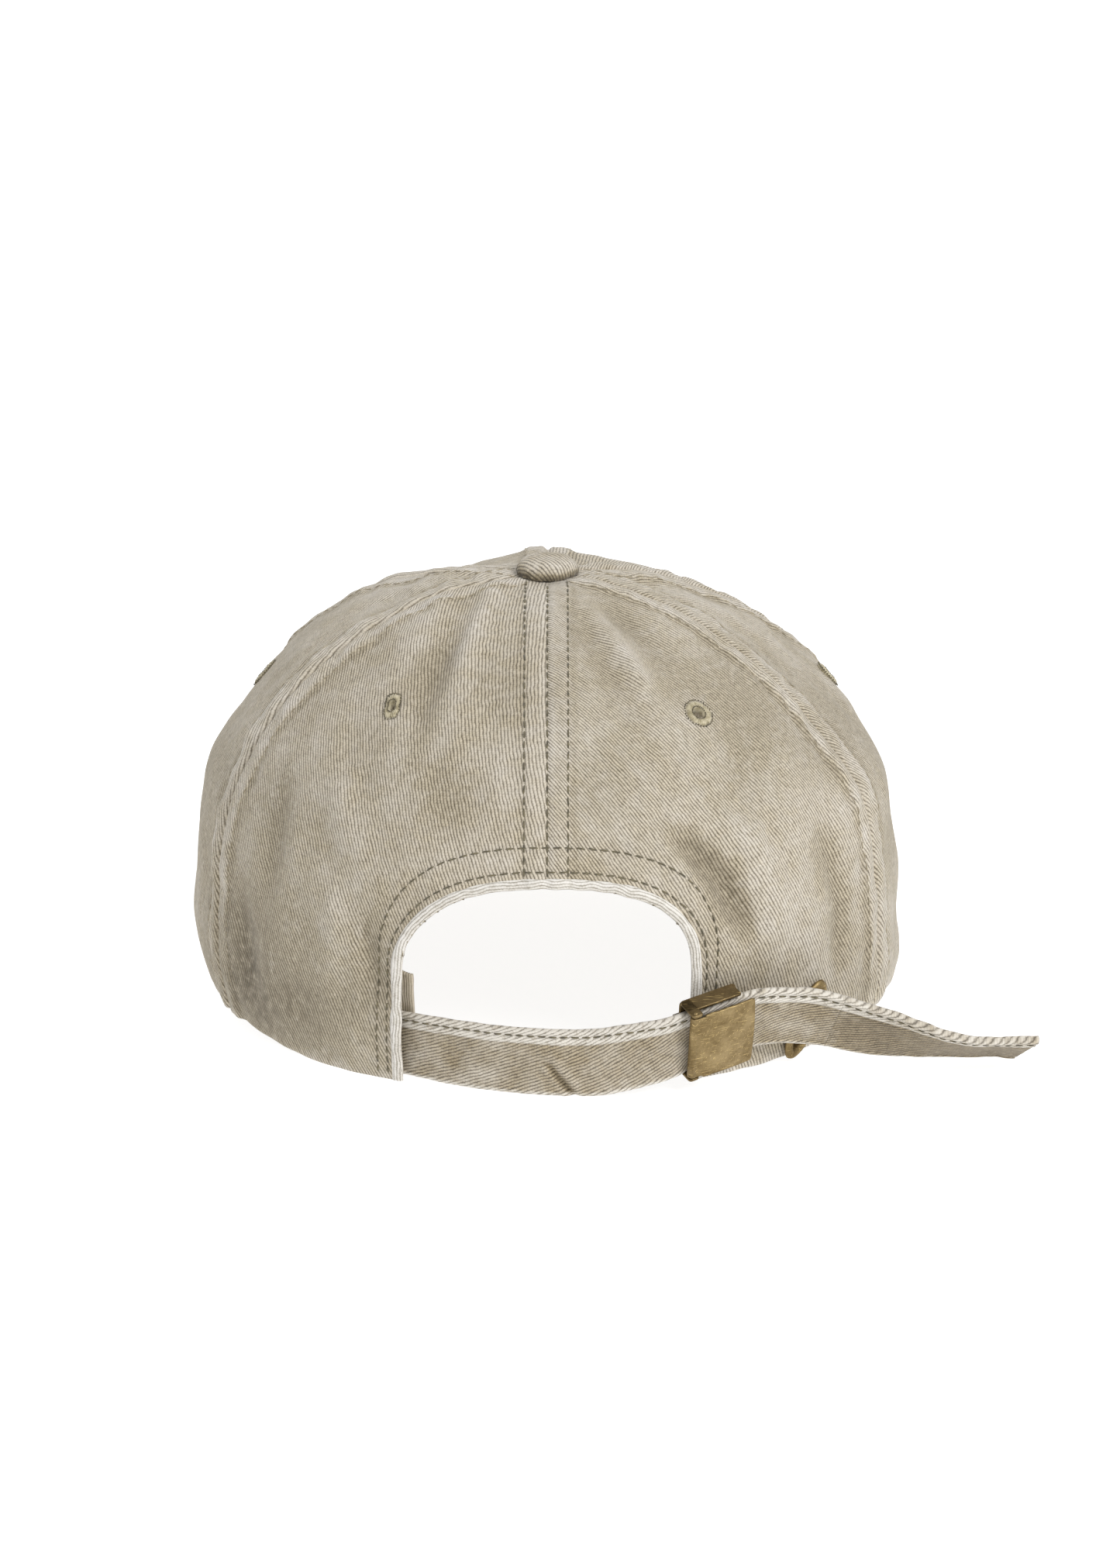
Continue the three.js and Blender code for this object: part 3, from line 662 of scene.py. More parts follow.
def sweep(points, side, up, outline):
    """Points, faces and uv of closed sections along a path; outline(k) gives (side, up) offsets."""
    sections = np.stack([outline(k) for k in range(len(points))])
    verts = points[:, None] + sections[..., :1] * side[:, None] + sections[..., 1:] * up[:, None]
    rows, cols = verts.shape[:2]
    along = np.broadcast_to(run_length(points)[:, None], (rows, cols))
    steps = np.cumsum(np.linalg.norm(np.diff(sections, axis=1), axis=2), axis=1)
    uv = np.stack([along, np.concatenate([np.zeros((rows, 1)), steps], axis=1)], -1)
    return verts.reshape(-1, 3), capped_tube(rows, cols), uv.reshape(-1, 2)


# ---------------- more materials
EDGE = make_twill("pale folded edge", rgb(212, 206, 194), rgb(226, 222, 215), rgb(132, 122, 104), angle=90.0)
STRAP = make_twill("strap twill", rgb(177, 161, 131), rgb(220, 214, 203), rgb(72, 60, 40), angle=-68.0)
BUTTON = make_twill("button twill", rgb(190, 176, 148), rgb(220, 213, 202), rgb(70, 60, 42), 1.05, 38.0)
TAPE = make_twill("lining tape", rgb(188, 176, 154), rgb(206, 198, 182), rgb(146, 133, 110), 0.8, 45.0)
BAND = make_twill("sweatband cloth", rgb(196, 184, 162), rgb(216, 208, 194), rgb(150, 138, 114), 0.7, 0.0)


def make_thread(name, colour, light):
    mat, g, shader = nodes_of(name, 0.75, sheen=0.3)
    where = g.own_space()
    speck = g.spread(g.noise(where, 900.0, 2.0), 0.35, 0.65)
    g.link(g.mix(speck, colour, light), shader.inputs["Base Color"])
    return mat


THREAD = make_thread("olive thread", rgb(66, 59, 38), rgb(112, 102, 72))
TONAL_THREAD = make_thread("khaki thread", rgb(132, 120, 94), rgb(176, 165, 142))
EYELET_THREAD = make_thread("eyelet thread", rgb(150, 139, 108), rgb(198, 188, 160))
PALE_THREAD = make_thread("pale thread", rgb(150, 138, 110), rgb(186, 176, 150))

SCRATCH = rgb(206, 182, 128)
SCRATCH_DEPTH = 0.00005  # metres


def make_brass(name, bright, dull, roughness):
    """Antique brass: dull patina, brushed scratches and brighter worn places."""
    mat, g, shader = nodes_of(name, roughness, metallic=1.0)
    where = g.own_space()
    patina = g.spread(g.noise(where, 160.0, 4.0, 0.65), 0.35, 0.65)
    brushed = g.noise(g.mapped(where, scale=(1, 1, 0.06)), 4200.0, 2.0, 0.6)
    rising = g.spread(g.noise(g.mapped(where, rotation=0.4, scale=(0.05, 0.05, 1.0)), 5200.0), 0.64, 0.69)
    flat = g.spread(g.noise(g.mapped(where, rotation=-0.9, scale=(0.05, 1.0, 0.2)), 5600.0), 0.65, 0.70)
    lines = g.math("MAXIMUM", rising, flat)
    blend = g.math("ADD", g.math("MULTIPLY", patina, 0.6), g.math("MULTIPLY", brushed, 0.45), clamp=True)
    colour = g.mix(blend, dull, bright)
    g.link(g.mix(lines, colour, SCRATCH), shader.inputs["Base Color"])
    g.link(g.spread(blend, 0.2, 1.0, roughness + 0.14, roughness - 0.1), shader.inputs["Roughness"])
    g.bump(shader, g.math("ADD", brushed, lines), 0.25, SCRATCH_DEPTH)
    return mat


BRASS = make_brass("antique brass", rgb(168, 148, 108), rgb(110, 91, 58), 0.5)
DARK_BRASS = make_brass("dark brass", rgb(150, 130, 94), rgb(84, 70, 46), 0.48)


def make_board():
    mat, g, shader = nodes_of("visor board", 0.7)
    speck = g.noise(g.own_space(), 300.0, 4.0)
    g.link(g.mix(speck, rgb(128, 124, 116), rgb(160, 156, 148)), shader.inputs["Base Color"])
    return mat


# ---------------- stitches
STITCH_PITCH = 3.1
STITCH_LEN = 2.5
THREAD_R = 0.23
THREAD_RINGS = 6
THREAD_SIDES = 6


def thread_faces():
    """Quads of one closed stitch with six sides."""
    side = grid_faces(THREAD_RINGS, THREAD_SIDES, closed_cols=True)
    first = np.array([(5, 4, 3, 2), (5, 2, 1, 0)])
    last = first[:, ::-1] + (THREAD_RINGS - 1) * THREAD_SIDES
    return np.concatenate([side, first, last])


THREAD_FACES = thread_faces()


class Stitches:
    """Collects rows of short thread arcs and makes one mesh of them."""

    def __init__(self, name, material):
        self.name, self.material = name, material
        self.verts, self.faces, self.count = [], [], 0

    def row(self, points, normals, pitch=STITCH_PITCH, length=STITCH_LEN, radius=THREAD_R, lift=0.0):
        both = even(np.concatenate([points, normals], axis=1), pitch / 8)
        p, n = both[:, :3], unit(both[:, 3:])
        s = run_length(p)
        t = np.linspace(-1, 1, THREAD_RINGS)
        angle = np.arange(THREAD_SIDES) * 2 * math.pi / THREAD_SIDES
        for start in np.arange(pitch / 2, s[-1] - pitch / 2, pitch):
            at = start + t * length / 2
            centre = np.stack([np.interp(at, s, p[:, k]) for k in range(3)], -1)
            up = unit(np.stack([np.interp(at, s, n[:, k]) for k in range(3)], -1))
            along = directions(centre)
            side = np.cross(along, up)
            slew = RNG.normal(0, 0.07)
            girth = radius * np.sqrt(1 - 0.8 * t**4)
            arc = radius * (0.9 - 1.5 * np.abs(t) ** 3) + lift
            centre = centre + up * arc[:, None] + side * (slew * t)[:, None]
            ring = side[:, None] * np.cos(angle)[:, None] + up[:, None] * np.sin(angle)[:, None]
            self.verts.append((centre[:, None] + ring * girth[:, None, None]).reshape(-1, 3))
            self.faces.append(THREAD_FACES + self.count)
            self.count += THREAD_RINGS * THREAD_SIDES

    def build(self, body="crown", slot="khaki_twill"):
        obj = new_object(self.name, np.concatenate(self.verts), np.concatenate(self.faces), body=body)
        return dress(obj, self.material, slot)


def on_skin(phi, q, lift=0.0):
    return skin(phi, q, -lift), crown_normal(phi, q)


def seam_row(stitches, index, off, **style):
    """One topstitch row beside a seam, or on it where off is zero."""
    seam = SEAMS[index]
    start = 9.0
    if index == 0:
        start = np.interp(q_at_height(np.array(0.0), np.array(ARCH_TOP + 1.5)), ARC_Q, ARC_S)
    q = np.interp(np.linspace(start, ARC_TOTAL - 8.5, 260), ARC_S, ARC_Q)
    phi = seam_angle(seam, q)
    phi = phi + off / np.maximum(ring_radius(phi, q), abs(off) * 1.2 + 0.1)
    stitches.row(*on_skin(phi, q), **style)


def stitch_seams(centre, sides):
    for off in (-STITCH_OFF, 0.0, STITCH_OFF - 0.6):
        seam_row(centre, 0, off)
    for index in range(1, len(SEAMS)):
        for off in (-STITCH_OFF, STITCH_OFF):
            seam_row(sides, index, off, radius=0.17, lift=-0.05)


def stitch_arch(stitches):
    for grow, leg_grow in ((3.1, 2.6), (9.0, 5.2)):
        x, z = arch_path(grow, 0.8, 3.0, leg_grow).T
        stitches.row(*on_skin(*back_at(x, z)))


# ---------------- crown trim
def make_arch_edge():
    x, z = arch_path(0, 0.7, 0.9).T
    phi, q = back_at(x, z)
    points, up = on_skin(phi, q)
    side = unit(np.cross(up, directions(points)))
    turn = turns(18)
    thick = 0.62 + 0.38 * np.cos(turn)
    wobble = hills(points, 7.0, 21)

    def outline(k):
        across = 0.25 + 1.5 * np.cos(turn) * (1 + 0.07 * wobble[k])
        rise = -0.42 - (0.55 + 0.5 * thick) * np.sin(turn)
        return np.stack([across, rise], -1)

    verts, faces, uv = sweep(points, side, up, outline)
    wear_and_shade = np.tile(0.35 + 0.4 * (np.cos(turn) > 0.1), len(points))
    piece = new_object("arch_folded_edge", verts, faces, uv=uv, wear_and_shade=wear_and_shade)
    dress(piece, EDGE, "khaki_twill")


def strip(node, phi, q, depths, uv):
    """A two-sided lining band inside the crown from grids of angle and profile share."""
    verts, faces = sheet(skin(phi, q, depths[0]), skin(phi, q, depths[1]))
    piece = new_object("cloth_" + node, verts, faces, uv=np.tile(uv.reshape(-1, 2), (2, 1)))
    dress(piece, TAPE, "lining_tape", node)


def make_tapes():
    names = ("centre_back", "back_right", "front_right", "centre_front", "front_left", "back_left")
    top = np.interp(ARC_TOTAL - 20.0, ARC_S, ARC_Q)
    for index, (name, seam) in enumerate(zip(names, SEAMS)):
        start = 0.012 if index else float(q_at_height(np.array(0.0), np.array(ARCH_TOP + 9.0)))
        arc = np.linspace(np.interp(start, ARC_Q, ARC_S), np.interp(top, ARC_Q, ARC_S), 110)
        q = np.interp(arc, ARC_S, ARC_Q)[:, None]
        across = np.linspace(-6.2, 6.2, 13)[None, :]
        middle = seam_angle(seam, q)
        phi = middle + across / ring_radius(middle, q)
        q = np.broadcast_to(q, phi.shape)
        uv = np.stack(np.broadcast_arrays(across, arc[:, None]), -1)
        strip("tape_" + name, phi, q, (1.5, 2.2), uv)


def make_facing():
    steps = np.linspace(0.4, 9.6, 12)
    rows = [arch_path(grow, 1.0, 1.4) for grow in steps]
    count = min(len(r) for r in rows)
    pick = np.linspace(0, 1, count)
    x, z = [
        np.stack([np.interp(pick, np.linspace(0, 1, len(r)), r[:, k]) for r in rows], -1) for k in range(2)
    ]
    phi, q = back_at(x, z)
    uv = np.stack(np.broadcast_arrays(np.arange(count)[:, None], steps[None, :]), -1)
    strip("arch_facing", phi, q, (2.2, 1.5), uv)


BAND_H = 33.0
BAND_ROWS, BAND_COLS = 34, 420
BAND_END_DROP = 6.5  # the band narrows towards its left end
BAND_FROM = math.asin((ARCH_HALF + 1.5) / CROWN_X)
BAND_TO = 2 * math.pi - math.asin((ARCH_HALF - 1.1) / CROWN_X)


def band_depth(phi):
    near = ease(phi, BAND_TO - 0.5, BAND_TO - 0.28)
    return 3.05 + near * 4.0


def make_sweatband(stitches):
    phi = np.linspace(BAND_FROM, BAND_TO, BAND_COLS)[None, :]
    up = np.linspace(0, 1, BAND_ROWS)[:, None]
    tall = BAND_H - BAND_END_DROP * ease(phi, BAND_TO - 0.2, BAND_TO)
    q = q_at_height(np.broadcast_to(phi, (BAND_ROWS, BAND_COLS)), rim_height(phi) + 1.2 + tall * up)
    phi = np.broadcast_to(phi, q.shape)
    base = crown(phi, q)
    wave = 0.35 * hills(base, 26, 31) * ease(up, 0, 0.4)
    fold = 0.35 * bell(up - 0.93, 0.05) + 0.3 * bell(up - 0.06, 0.05)
    normal = crown_normal(phi, q)
    depth = band_depth(phi) + wave
    outer = base - normal * depth[..., None]
    inner = base - normal * (depth + 1.0 + fold)[..., None]
    uv = np.stack([phi * 90, np.broadcast_to(up * BAND_H, phi.shape)], -1).reshape(-1, 2)
    verts, faces = sheet(outer, inner)
    band = new_object("cloth_sweatband", verts, faces, uv=np.tile(uv, (2, 1)))
    dress(band, BAND, "sweatband_cloth", "sweatband")
    for row in (2, 4, 30):
        stitches.row(inner[row], -normal[row])


# ---------------- button and eyelets
BUTTON_BASE = CROWN_H - 0.1
# Radius and height of the covered button, from the middle of its top round under its edge
BUTTON_PROFILE = (
    *((0.05, 5.0), (1.8, 4.98), (3.6, 4.85), (5.2, 4.55), (6.6, 3.95), (7.6, 3.0), (8.2, 1.9)),
    *((8.4, 1.0), (8.2, 0.3), (7.6, 0.0), (6.4, 0.0), (4.0, 0.1), (0.05, 0.1)),
)


def make_button():
    profile = even(np.array(BUTTON_PROFILE), 0.5)
    turn = turns(96)
    r, z = profile[:, :1], profile[:, 1:]
    low = ease(-z, -2.6, -0.4)
    r = r * (1 + 0.022 * low * np.sin(turn * 17 + 0.8 * np.sin(turn * 3)))
    x, y = r * np.cos(turn), r * np.sin(turn)
    z = z + 0.12 * hills(np.stack([x, y, 0 * x], -1), 7, 41) + 0 * x
    verts = np.stack([x, y, z + BUTTON_BASE], -1)
    reach = run_length(profile)[:, None]
    uv = np.stack([reach * np.cos(turn), reach * np.sin(turn)], -1)
    # The paler ring round the shoulder is wear; the button's underside and its left side are darkened with
    # painted shade
    wear_and_shade = 0.05 + 0.25 * bell(reach - 6.6, 1.6) - 0.75 * ease(reach, 8.4, 10.4) - 0.2 * ease(-x, 3.0, 8.0)
    faces = capped_tube(len(profile), len(turn))
    button = new_object("cloth_button", verts.reshape(-1, 3), faces, uv=uv.reshape(-1, 2), wear_and_shade=wear_and_shade.ravel())
    dress(button, BUTTON, "khaki_twill", "button_cover")


EYELETS = (
    ("back_right", 36.0, 0.635),
    ("back_left", -38.0, 0.645),
    ("side_right", 101.0, 0.555),
    ("side_left", -101.0, 0.555),
    ("front_right", 148.0, 0.64),
    ("front_left", -148.0, 0.64),
)


EYELET_THREADS = 34
# Section of an eyelet's stitched ring: radius and height above the cloth
EYELET_RINGS = (
    *((3.9, -0.5), (3.8, 0.1), (3.3, 0.55), (2.7, 0.72), (2.1, 0.55), (1.6, 0.2)),
    *((1.3, -0.4), (1.25, -1.5), (1.9, -1.5)),
)
EYELET_HOLE = 2.1


def local_frame(phi, q, tilt=0.0):
    """Origin on the cloth, then right, up and outward directions."""
    origin = skin(phi, q)
    out = crown_normal(phi, q)
    up = unit(np.array([0, 0, 1.0]) - out * out[2])
    right = np.cross(up, out)
    c, s = math.cos(tilt), math.sin(tilt)
    return origin, right * c + up * s, up * c - right * s, out


def make_eyelets():
    outline = Stitches("eyelet_outline", THREAD)
    for index, (place, angle, q) in enumerate(EYELETS):
        origin, right, up, out = local_frame(np.array(angle * DEG), np.array(q))
        rng = np.random.default_rng(50 + index)
        turn = turns(EYELET_THREADS * 4)
        jitter = np.repeat(rng.normal(0, 0.13, EYELET_THREADS), 4)
        ridge = 0.5 + 0.5 * np.cos(turn * EYELET_THREADS)
        pinch = 1 - (0.05 + 0.2 * (place == "back_left")) * (1 + np.cos(2 * turn - 0.7))

        def loop(radius, lift):
            r = (radius + jitter * (radius > 3)) * pinch
            h = lift + 0.26 * (ridge - 0.5) * (lift > 0)
            spot = origin + right * (r * np.cos(turn))[:, None] + up * (r * np.sin(turn))[:, None]
            return spot + out * np.broadcast_to(h, turn.shape)[:, None]

        verts = np.concatenate([loop(radius, lift) for radius, lift in EYELET_RINGS])
        faces = grid_faces(len(EYELET_RINGS), len(turn), closed_cols=True, closed_rows=True)
        ring = new_object("stitched_eyelet_" + place, verts, faces)
        dress(ring, EYELET_THREAD, "eyelet_thread", "eyelet_" + place)
        for radius, pitch in ((4.15, 1.0), (1.95, 0.85)):
            row = loop(radius, 0.1 if radius > 3 else 0.6)
            row = np.concatenate([row, row[:1]])
            stitch_up = np.broadcast_to(out, row.shape)
            outline.row(row, stitch_up, pitch=pitch, length=pitch * 0.8, radius=0.17)
    outline.build(slot="eyelet_thread")


# ---------------- visor
VISOR_FROM = 118.0
VISOR_TIP_X = 81.0
VISOR_BULGE = 10.0
VISOR_BASE_Y = 42.0
VISOR_LENGTH = 112.0
VISOR_TOP_Z = 22.9
VISOR_PITCH = 0.16
VISOR_ARCH_R = 190.0
VISOR_T = 3.8
VISOR_CLOTH_T = 0.6
VISOR_TUCK = 0.03  # share of the visor that runs in under the crown
VISOR_TUCK_RISE = 1.1
VISOR_ROWS = (6.0, 12.5, 19.0, 25.5, 32.0, 38.5)


def visor_surface(u, v):
    phi = (180 + (u - 0.5) * 2 * (180 - VISOR_FROM)) * DEG
    root = crown(phi, np.zeros_like(phi))
    turn = (u - 0.5) * math.pi
    reach = VISOR_TIP_X + VISOR_BULGE * np.abs(np.sin(2 * turn))
    edge_x = -np.sign(turn) * np.abs(np.sin(turn)) ** 0.8 * reach
    edge_y = VISOR_BASE_Y + VISOR_LENGTH * np.cos(turn)
    x = root[..., 0] + (edge_x - root[..., 0]) * v
    y = root[..., 1] + (edge_y - root[..., 1]) * v

    def arch(px, py):
        return VISOR_TOP_Z - VISOR_PITCH * (py - CROWN_Y * RIM_SHARE) - px**2 / (2 * VISOR_ARCH_R)

    z = arch(x, y) + (1 - v) * (root[..., 2] - 0.3 - arch(root[..., 0], root[..., 1]))
    length = np.hypot(edge_x - root[..., 0], edge_y - root[..., 1])
    return np.stack([x, y, z], -1), length


def visor_relief(points, left):
    """Height of the cloth over the board; left is the distance to the front edge."""
    lift = 0.14 * hills(points, 17, 61)
    for row in VISOR_ROWS:
        lift = lift - 0.26 * bell(left - row, 0.7)
        lift = lift + 0.07 * hills(points, 5.0, 62) * bell(left - row, 2.6)
    return lift


def visor_edge_drop(left, half):
    """How far the cloth has rolled down towards the middle of the edge."""
    t = np.clip(1 - left / 1.9, 0, 1)
    return half * (1 - np.sqrt(1 - t**2))


def make_visor(stitches):
    u = np.linspace(0, 1, 260)[None, :]
    v = 1 - (1 - np.linspace(0, 1, 96)[:, None]) ** 1.25
    v = v - VISOR_TUCK * (1 - v) ** 8
    u, v = np.broadcast_arrays(u, v)
    base, length = visor_surface(u, v)
    left = (1 - v) * np.maximum(length, 0.5)
    lift = visor_relief(base, left) + VISOR_TUCK_RISE * (1 - ease(v * length, 0.2, 3.0))
    upright = np.array([0, 0, 1.0])
    half = VISOR_T / 2
    side_t = np.clip(1 - np.minimum(u, 1 - u) * 190 / 1.6, 0, 1)
    roll = np.maximum(visor_edge_drop(left, half), half * (1 - np.sqrt(1 - side_t**2)))
    uv = base[..., :2].reshape(-1, 2)
    wear_and_shade = 0.5 * bell(left, 1.6)
    for row in VISOR_ROWS:
        wear_and_shade = wear_and_shade + 0.12 * bell(left - row - 1.4, 1.0)
    sides = (
        ("top_cover", base + upright * (lift - roll)[..., None], -VISOR_CLOTH_T),
        ("under_cover", base - upright * (VISOR_T + lift * 0.6 - roll)[..., None], VISOR_CLOTH_T),
    )
    uv, wear_and_shade = np.tile(uv, (2, 1)), np.tile(wear_and_shade.ravel(), 2)
    for name, outer, thickness in sides:
        verts, faces = sheet(outer, outer + upright * thickness)
        cover = new_object("cloth_visor_" + name, verts, faces, uv=uv, wear_and_shade=wear_and_shade)
        dress(cover, KHAKI, "khaki_twill", "visor_" + name)
    for row in VISOR_ROWS:
        uu = np.linspace(0.02, 0.98, 500)
        _, length = visor_surface(uu, 0 * uu)
        good = length > row + 2.5
        uu, length = uu[good], length[good]
        points, _ = visor_surface(uu, 1 - row / length)
        lift = visor_relief(points, np.full(len(uu), row))
        up = np.broadcast_to(upright, points.shape)
        stitches.row(points + upright * lift[:, None], up, pitch=3.4, length=2.8)
        stitches.row(points - upright * (VISOR_T + lift * 0.6)[:, None], -up, pitch=3.4, length=2.8)


# ---------------- strap
STRAP_HALF = 9.2
STRAP_PATH = (
    (-50, -66.9, 9.4, -6),
    (-45, -69.9, 9.4, -6),
    (-39, -73.1, 9.4, -6),
    (-32, -76.8, 9.4, -5),
    (-20, -82.4, 9.3, -2),
    (-5, -86.6, 9.3, 0),
    (10, -88.4, 9.42, 0),
    (20, -89.1, 11.0, -3),
    (30, -88.9, 13.2, -10),
    (36, -87.4, 15.1, -16),
    (42.6, -84.2, 16.4, -17),
    (49, -80.4, 17.3, -17),
    (55.0, -77.2, 17.7, -17),
    (62, -74.7, 17.3, -20),
    (68, -73.3, 16.5, -22),
    (76, -72.0, 14.5, -25),
    (84, -71.4, 12.1, -29),
    (90.2, -71.4, 10.8, -33),
    (96, -71.7, 9.8, -41),
    (103, -72.0, 8.4, -50),
    (110, -71.9, 7.5, -56),
    (120, -71.5, 7.1, -57),
    (128, -71.2, 7.0, -55),
)
END_CUT = 5.0  # the loose end is cut at a slant, longer along its top edge
TAIL_SPLIT_X = 75.0
STRAP_STEP = 0.55
STRAP_ROWS = (7.1, -7.2)
SWING_AT = (57.2, -76.3, 17.7)
CURL_AT = (90.2, -71.4, 10.8)
STRAP_END_SHADE = 0.32  # painted shade darkens the loose end


def spline(points):
    """Catmull-Rom curve through points of any width."""
    p = np.array(points, float)
    p = np.concatenate([[2 * p[0] - p[1]], p, [2 * p[-1] - p[-2]]])
    t = np.linspace(0, 1, 25)[:-1, None]
    out = []
    for k in range(1, len(p) - 2):
        a, b, c, d = p[k - 1 : k + 3]
        bend, twist = 2 * a - 5 * b + 4 * c - d, 3 * b - a - 3 * c + d
        out.append(0.5 * (2 * b + (c - a) * t + bend * t**2 + twist * t**3))
    return np.concatenate(out + [p[-2:-1]])


def strap_frames():
    path = even(spline(STRAP_PATH), STRAP_STEP)
    points, lean = path[:, :3], path[:, 3] * DEG
    along = directions(points)
    flat = unit(along * np.array([1, 1, 0]))
    outward = np.stack([flat[:, 1], -flat[:, 0], 0 * flat[:, 0]], -1)
    upright = np.cross(outward, along)
    c, s = np.cos(lean)[:, None], np.sin(lean)[:, None]
    width = upright * c - outward * s
    normal = outward * c + upright * s
    return points, along, width, normal


def strap_outline():
    """Half-thickness profile: a folded, stitched band along the top and a thin fold along the bottom."""
    w = np.linspace(-1, 1, 45)
    w = np.sin(w * math.pi / 2) * 0.35 + w * 0.65
    across = w * STRAP_HALF
    round_off = np.sqrt(1 - np.clip(np.abs(across) - STRAP_HALF + 1.0, 0, 1) ** 2)
    thick = 0.92 + 0.24 * ease(across, 4.7, 5.4) + 0.14 * ease(-across, 7.6, 8.2)
    thick = thick - 0.26 * bell(across - 5.0, 0.4) - 0.30 * bell(across - 7.1, 0.5)
    thick = thick - 0.12 * bell(across + 7.5, 0.4)
    return across, thick * (0.15 + 0.85 * round_off)


def strap_dent(points, across):
    """Outward shift of the strap cloth: soft waves and one pinched crease near the middle."""
    x = points[:, :1] + 0 * across
    spot = np.stack([x, across + 0 * x, 0 * x], -1)
    wave = 0.22 * hills(spot, 17, 71) + 0.10 * hills(spot, 6, 72)
    line = across - (-0.4 - 1.35 * (x - 0.5))
    reach = ease(-across, -1.5, 2.0) * ease(x, -4.0, -1.0) * (1 - ease(x, 7.0, 10.0))
    crease = (-1.15 * bell(line, 1.5) + 0.7 * bell(line - 3.4, 1.9) + 0.35 * bell(line + 3.2, 1.6)) * reach
    return wave + crease


def make_strap_piece(name, first, last, body, nodes, stitches):
    frames = strap_frames()
    points, along, width, normal = [a[first : last + 1] for a in frames]
    across, thick = strap_outline()
    dent = strap_dent(points, across[None, :])
    centre = points[:, None] + width[:, None] * across[None, :, None]
    front = centre + normal[:, None] * (thick + dent)[..., None]
    back = centre - normal[:, None] * (thick - dent)[..., None]
    if last == len(frames[0]) - 1:
        left = (points[-1, 0] - points[:, 0])[:, None]
        slant = END_CUT * (across[None, :] / STRAP_HALF - 1) / 2 * (1 - ease(left, 0, 16))
        front, back = [side + along[:, None] * slant[..., None] for side in (front, back)]
    ring = np.concatenate([front, back[:, ::-1]], axis=1)
    rows, cols = ring.shape[:2]
    s = run_length(points) + first * STRAP_STEP
    v = np.concatenate([across, 2 * STRAP_HALF + across])
    uv = np.stack(np.broadcast_arrays(s[:, None], v[None, :]), -1)
    edge = 0.75 * ease(across, 4.9, 5.4) + 0.6 * ease(-across, 7.8, 8.4) + 0.3 * bell(across - 5.9, 0.5)
    wear_and_shade = np.tile(np.concatenate([edge, edge[::-1]]), rows)
    dents = np.concatenate([dent, dent[:, ::-1]], 1)
    # Painted shade darkens the loose end
    end_shade = STRAP_END_SHADE * ease(points[:, :1], 60.0, 92.0)
    # Crease ridges are paler with wear; the crease groove is darkened with painted shade
    wear_and_shade = wear_and_shade + (0.25 * np.clip(dents, 0, 1.5) - 0.3 * np.clip(-dents, 0, 1.2) - end_shade).ravel()
    faces = capped_tube(rows, cols)
    piece = new_object(name, ring.reshape(-1, 3), faces, body=body, uv=uv.reshape(-1, 2), wear_and_shade=wear_and_shade)
    dress(piece, STRAP, "strap_twill", *nodes)
    high, low = [int(np.argmin(np.abs(across - offset))) for offset in STRAP_ROWS]
    for points, up in ((front[:, high], normal), (back[:, high], -normal), (back[:, low], -normal)):
        stitches.row(points, up, pitch=2.9, length=2.3)
    return piece


def blended(piece, body_a, body_b, pivot, along, before, after):
    start = (np.array(pivot) - np.array(along) * before) * MM
    end = (np.array(pivot) + np.array(along) * after) * MM
    piece.parent = None
    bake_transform(piece)


def make_strap():
    points, along, _, _ = strap_frames()
    split = int(np.argmin(np.abs(points[:, 0] - TAIL_SPLIT_X)))
    near = Stitches("strap_topstitch", THREAD)
    far = Stitches("strap_end_topstitch", THREAD)
    band = make_strap_piece("cloth_strap", 0, split, "crown", ("strap_band", "strap_tail_root"), near)
    tail = make_strap_piece("cloth_strap_end", split, len(points) - 1, "tail", ("strap_tail_tip",), far)
    for obj, a, b, pivot, before, after in (
        (band, "crown", "tail", SWING_AT, 1.5, 12.0),
        (near.build("crown", "strap_twill"), "crown", "tail", SWING_AT, 1.5, 12.0),
        (tail, "tail", "tail_end", CURL_AT, 8.0, 8.0),
        (far.build("tail", "strap_twill"), "tail", "tail_end", CURL_AT, 8.0, 8.0),
    ):
        k = int(np.argmin(np.linalg.norm(points - np.array(pivot), axis=1)))
        blended(obj, a, b, pivot, along[k], before, after)


# ---------------- clasp and grommet
CLASP = (42.7, -84.3, 16.4)
CLASP_YAW = 30.0
CLASP_ROLL = 7.5
CLASP_LEAN = -17.0
CLASP_LEN = 17.0
CLASP_HALF_H = 11.0
SHEET = 0.8
CLASP_BACK = -2.6
PIN_X = -7.3
PIN_OUT = 2.9
PIN_R = 0.6
PIN_SIDES = 28
PIN_EDGE = 0.12
BARREL_R = 1.3
EAR_END_X = -5.4
EAR_OUT = 4.0
CHEEK_OUT = 1.4
LEVER_LEN = 17.5
LEVER_HALF_H = 10.4
LEVER_NECK = 9.8
CORNER_STEPS = 5


def clasp_place(local):
    """Local x along the strap, y outwards, z across; returns millimetre points."""
    x, y, z = local[..., 0], -local[..., 1], local[..., 2]
    n = -CLASP_LEAN * DEG
    y, z = y * math.cos(n) - z * math.sin(n), y * math.sin(n) + z * math.cos(n)
    r = CLASP_ROLL * DEG
    x, z = x * math.cos(r) - z * math.sin(r), x * math.sin(r) + z * math.cos(r)
    a = CLASP_YAW * DEG
    x, y = x * math.cos(a) - y * math.sin(a), x * math.sin(a) + y * math.cos(a)
    return np.stack([x, y, z], -1) + np.array(CLASP)


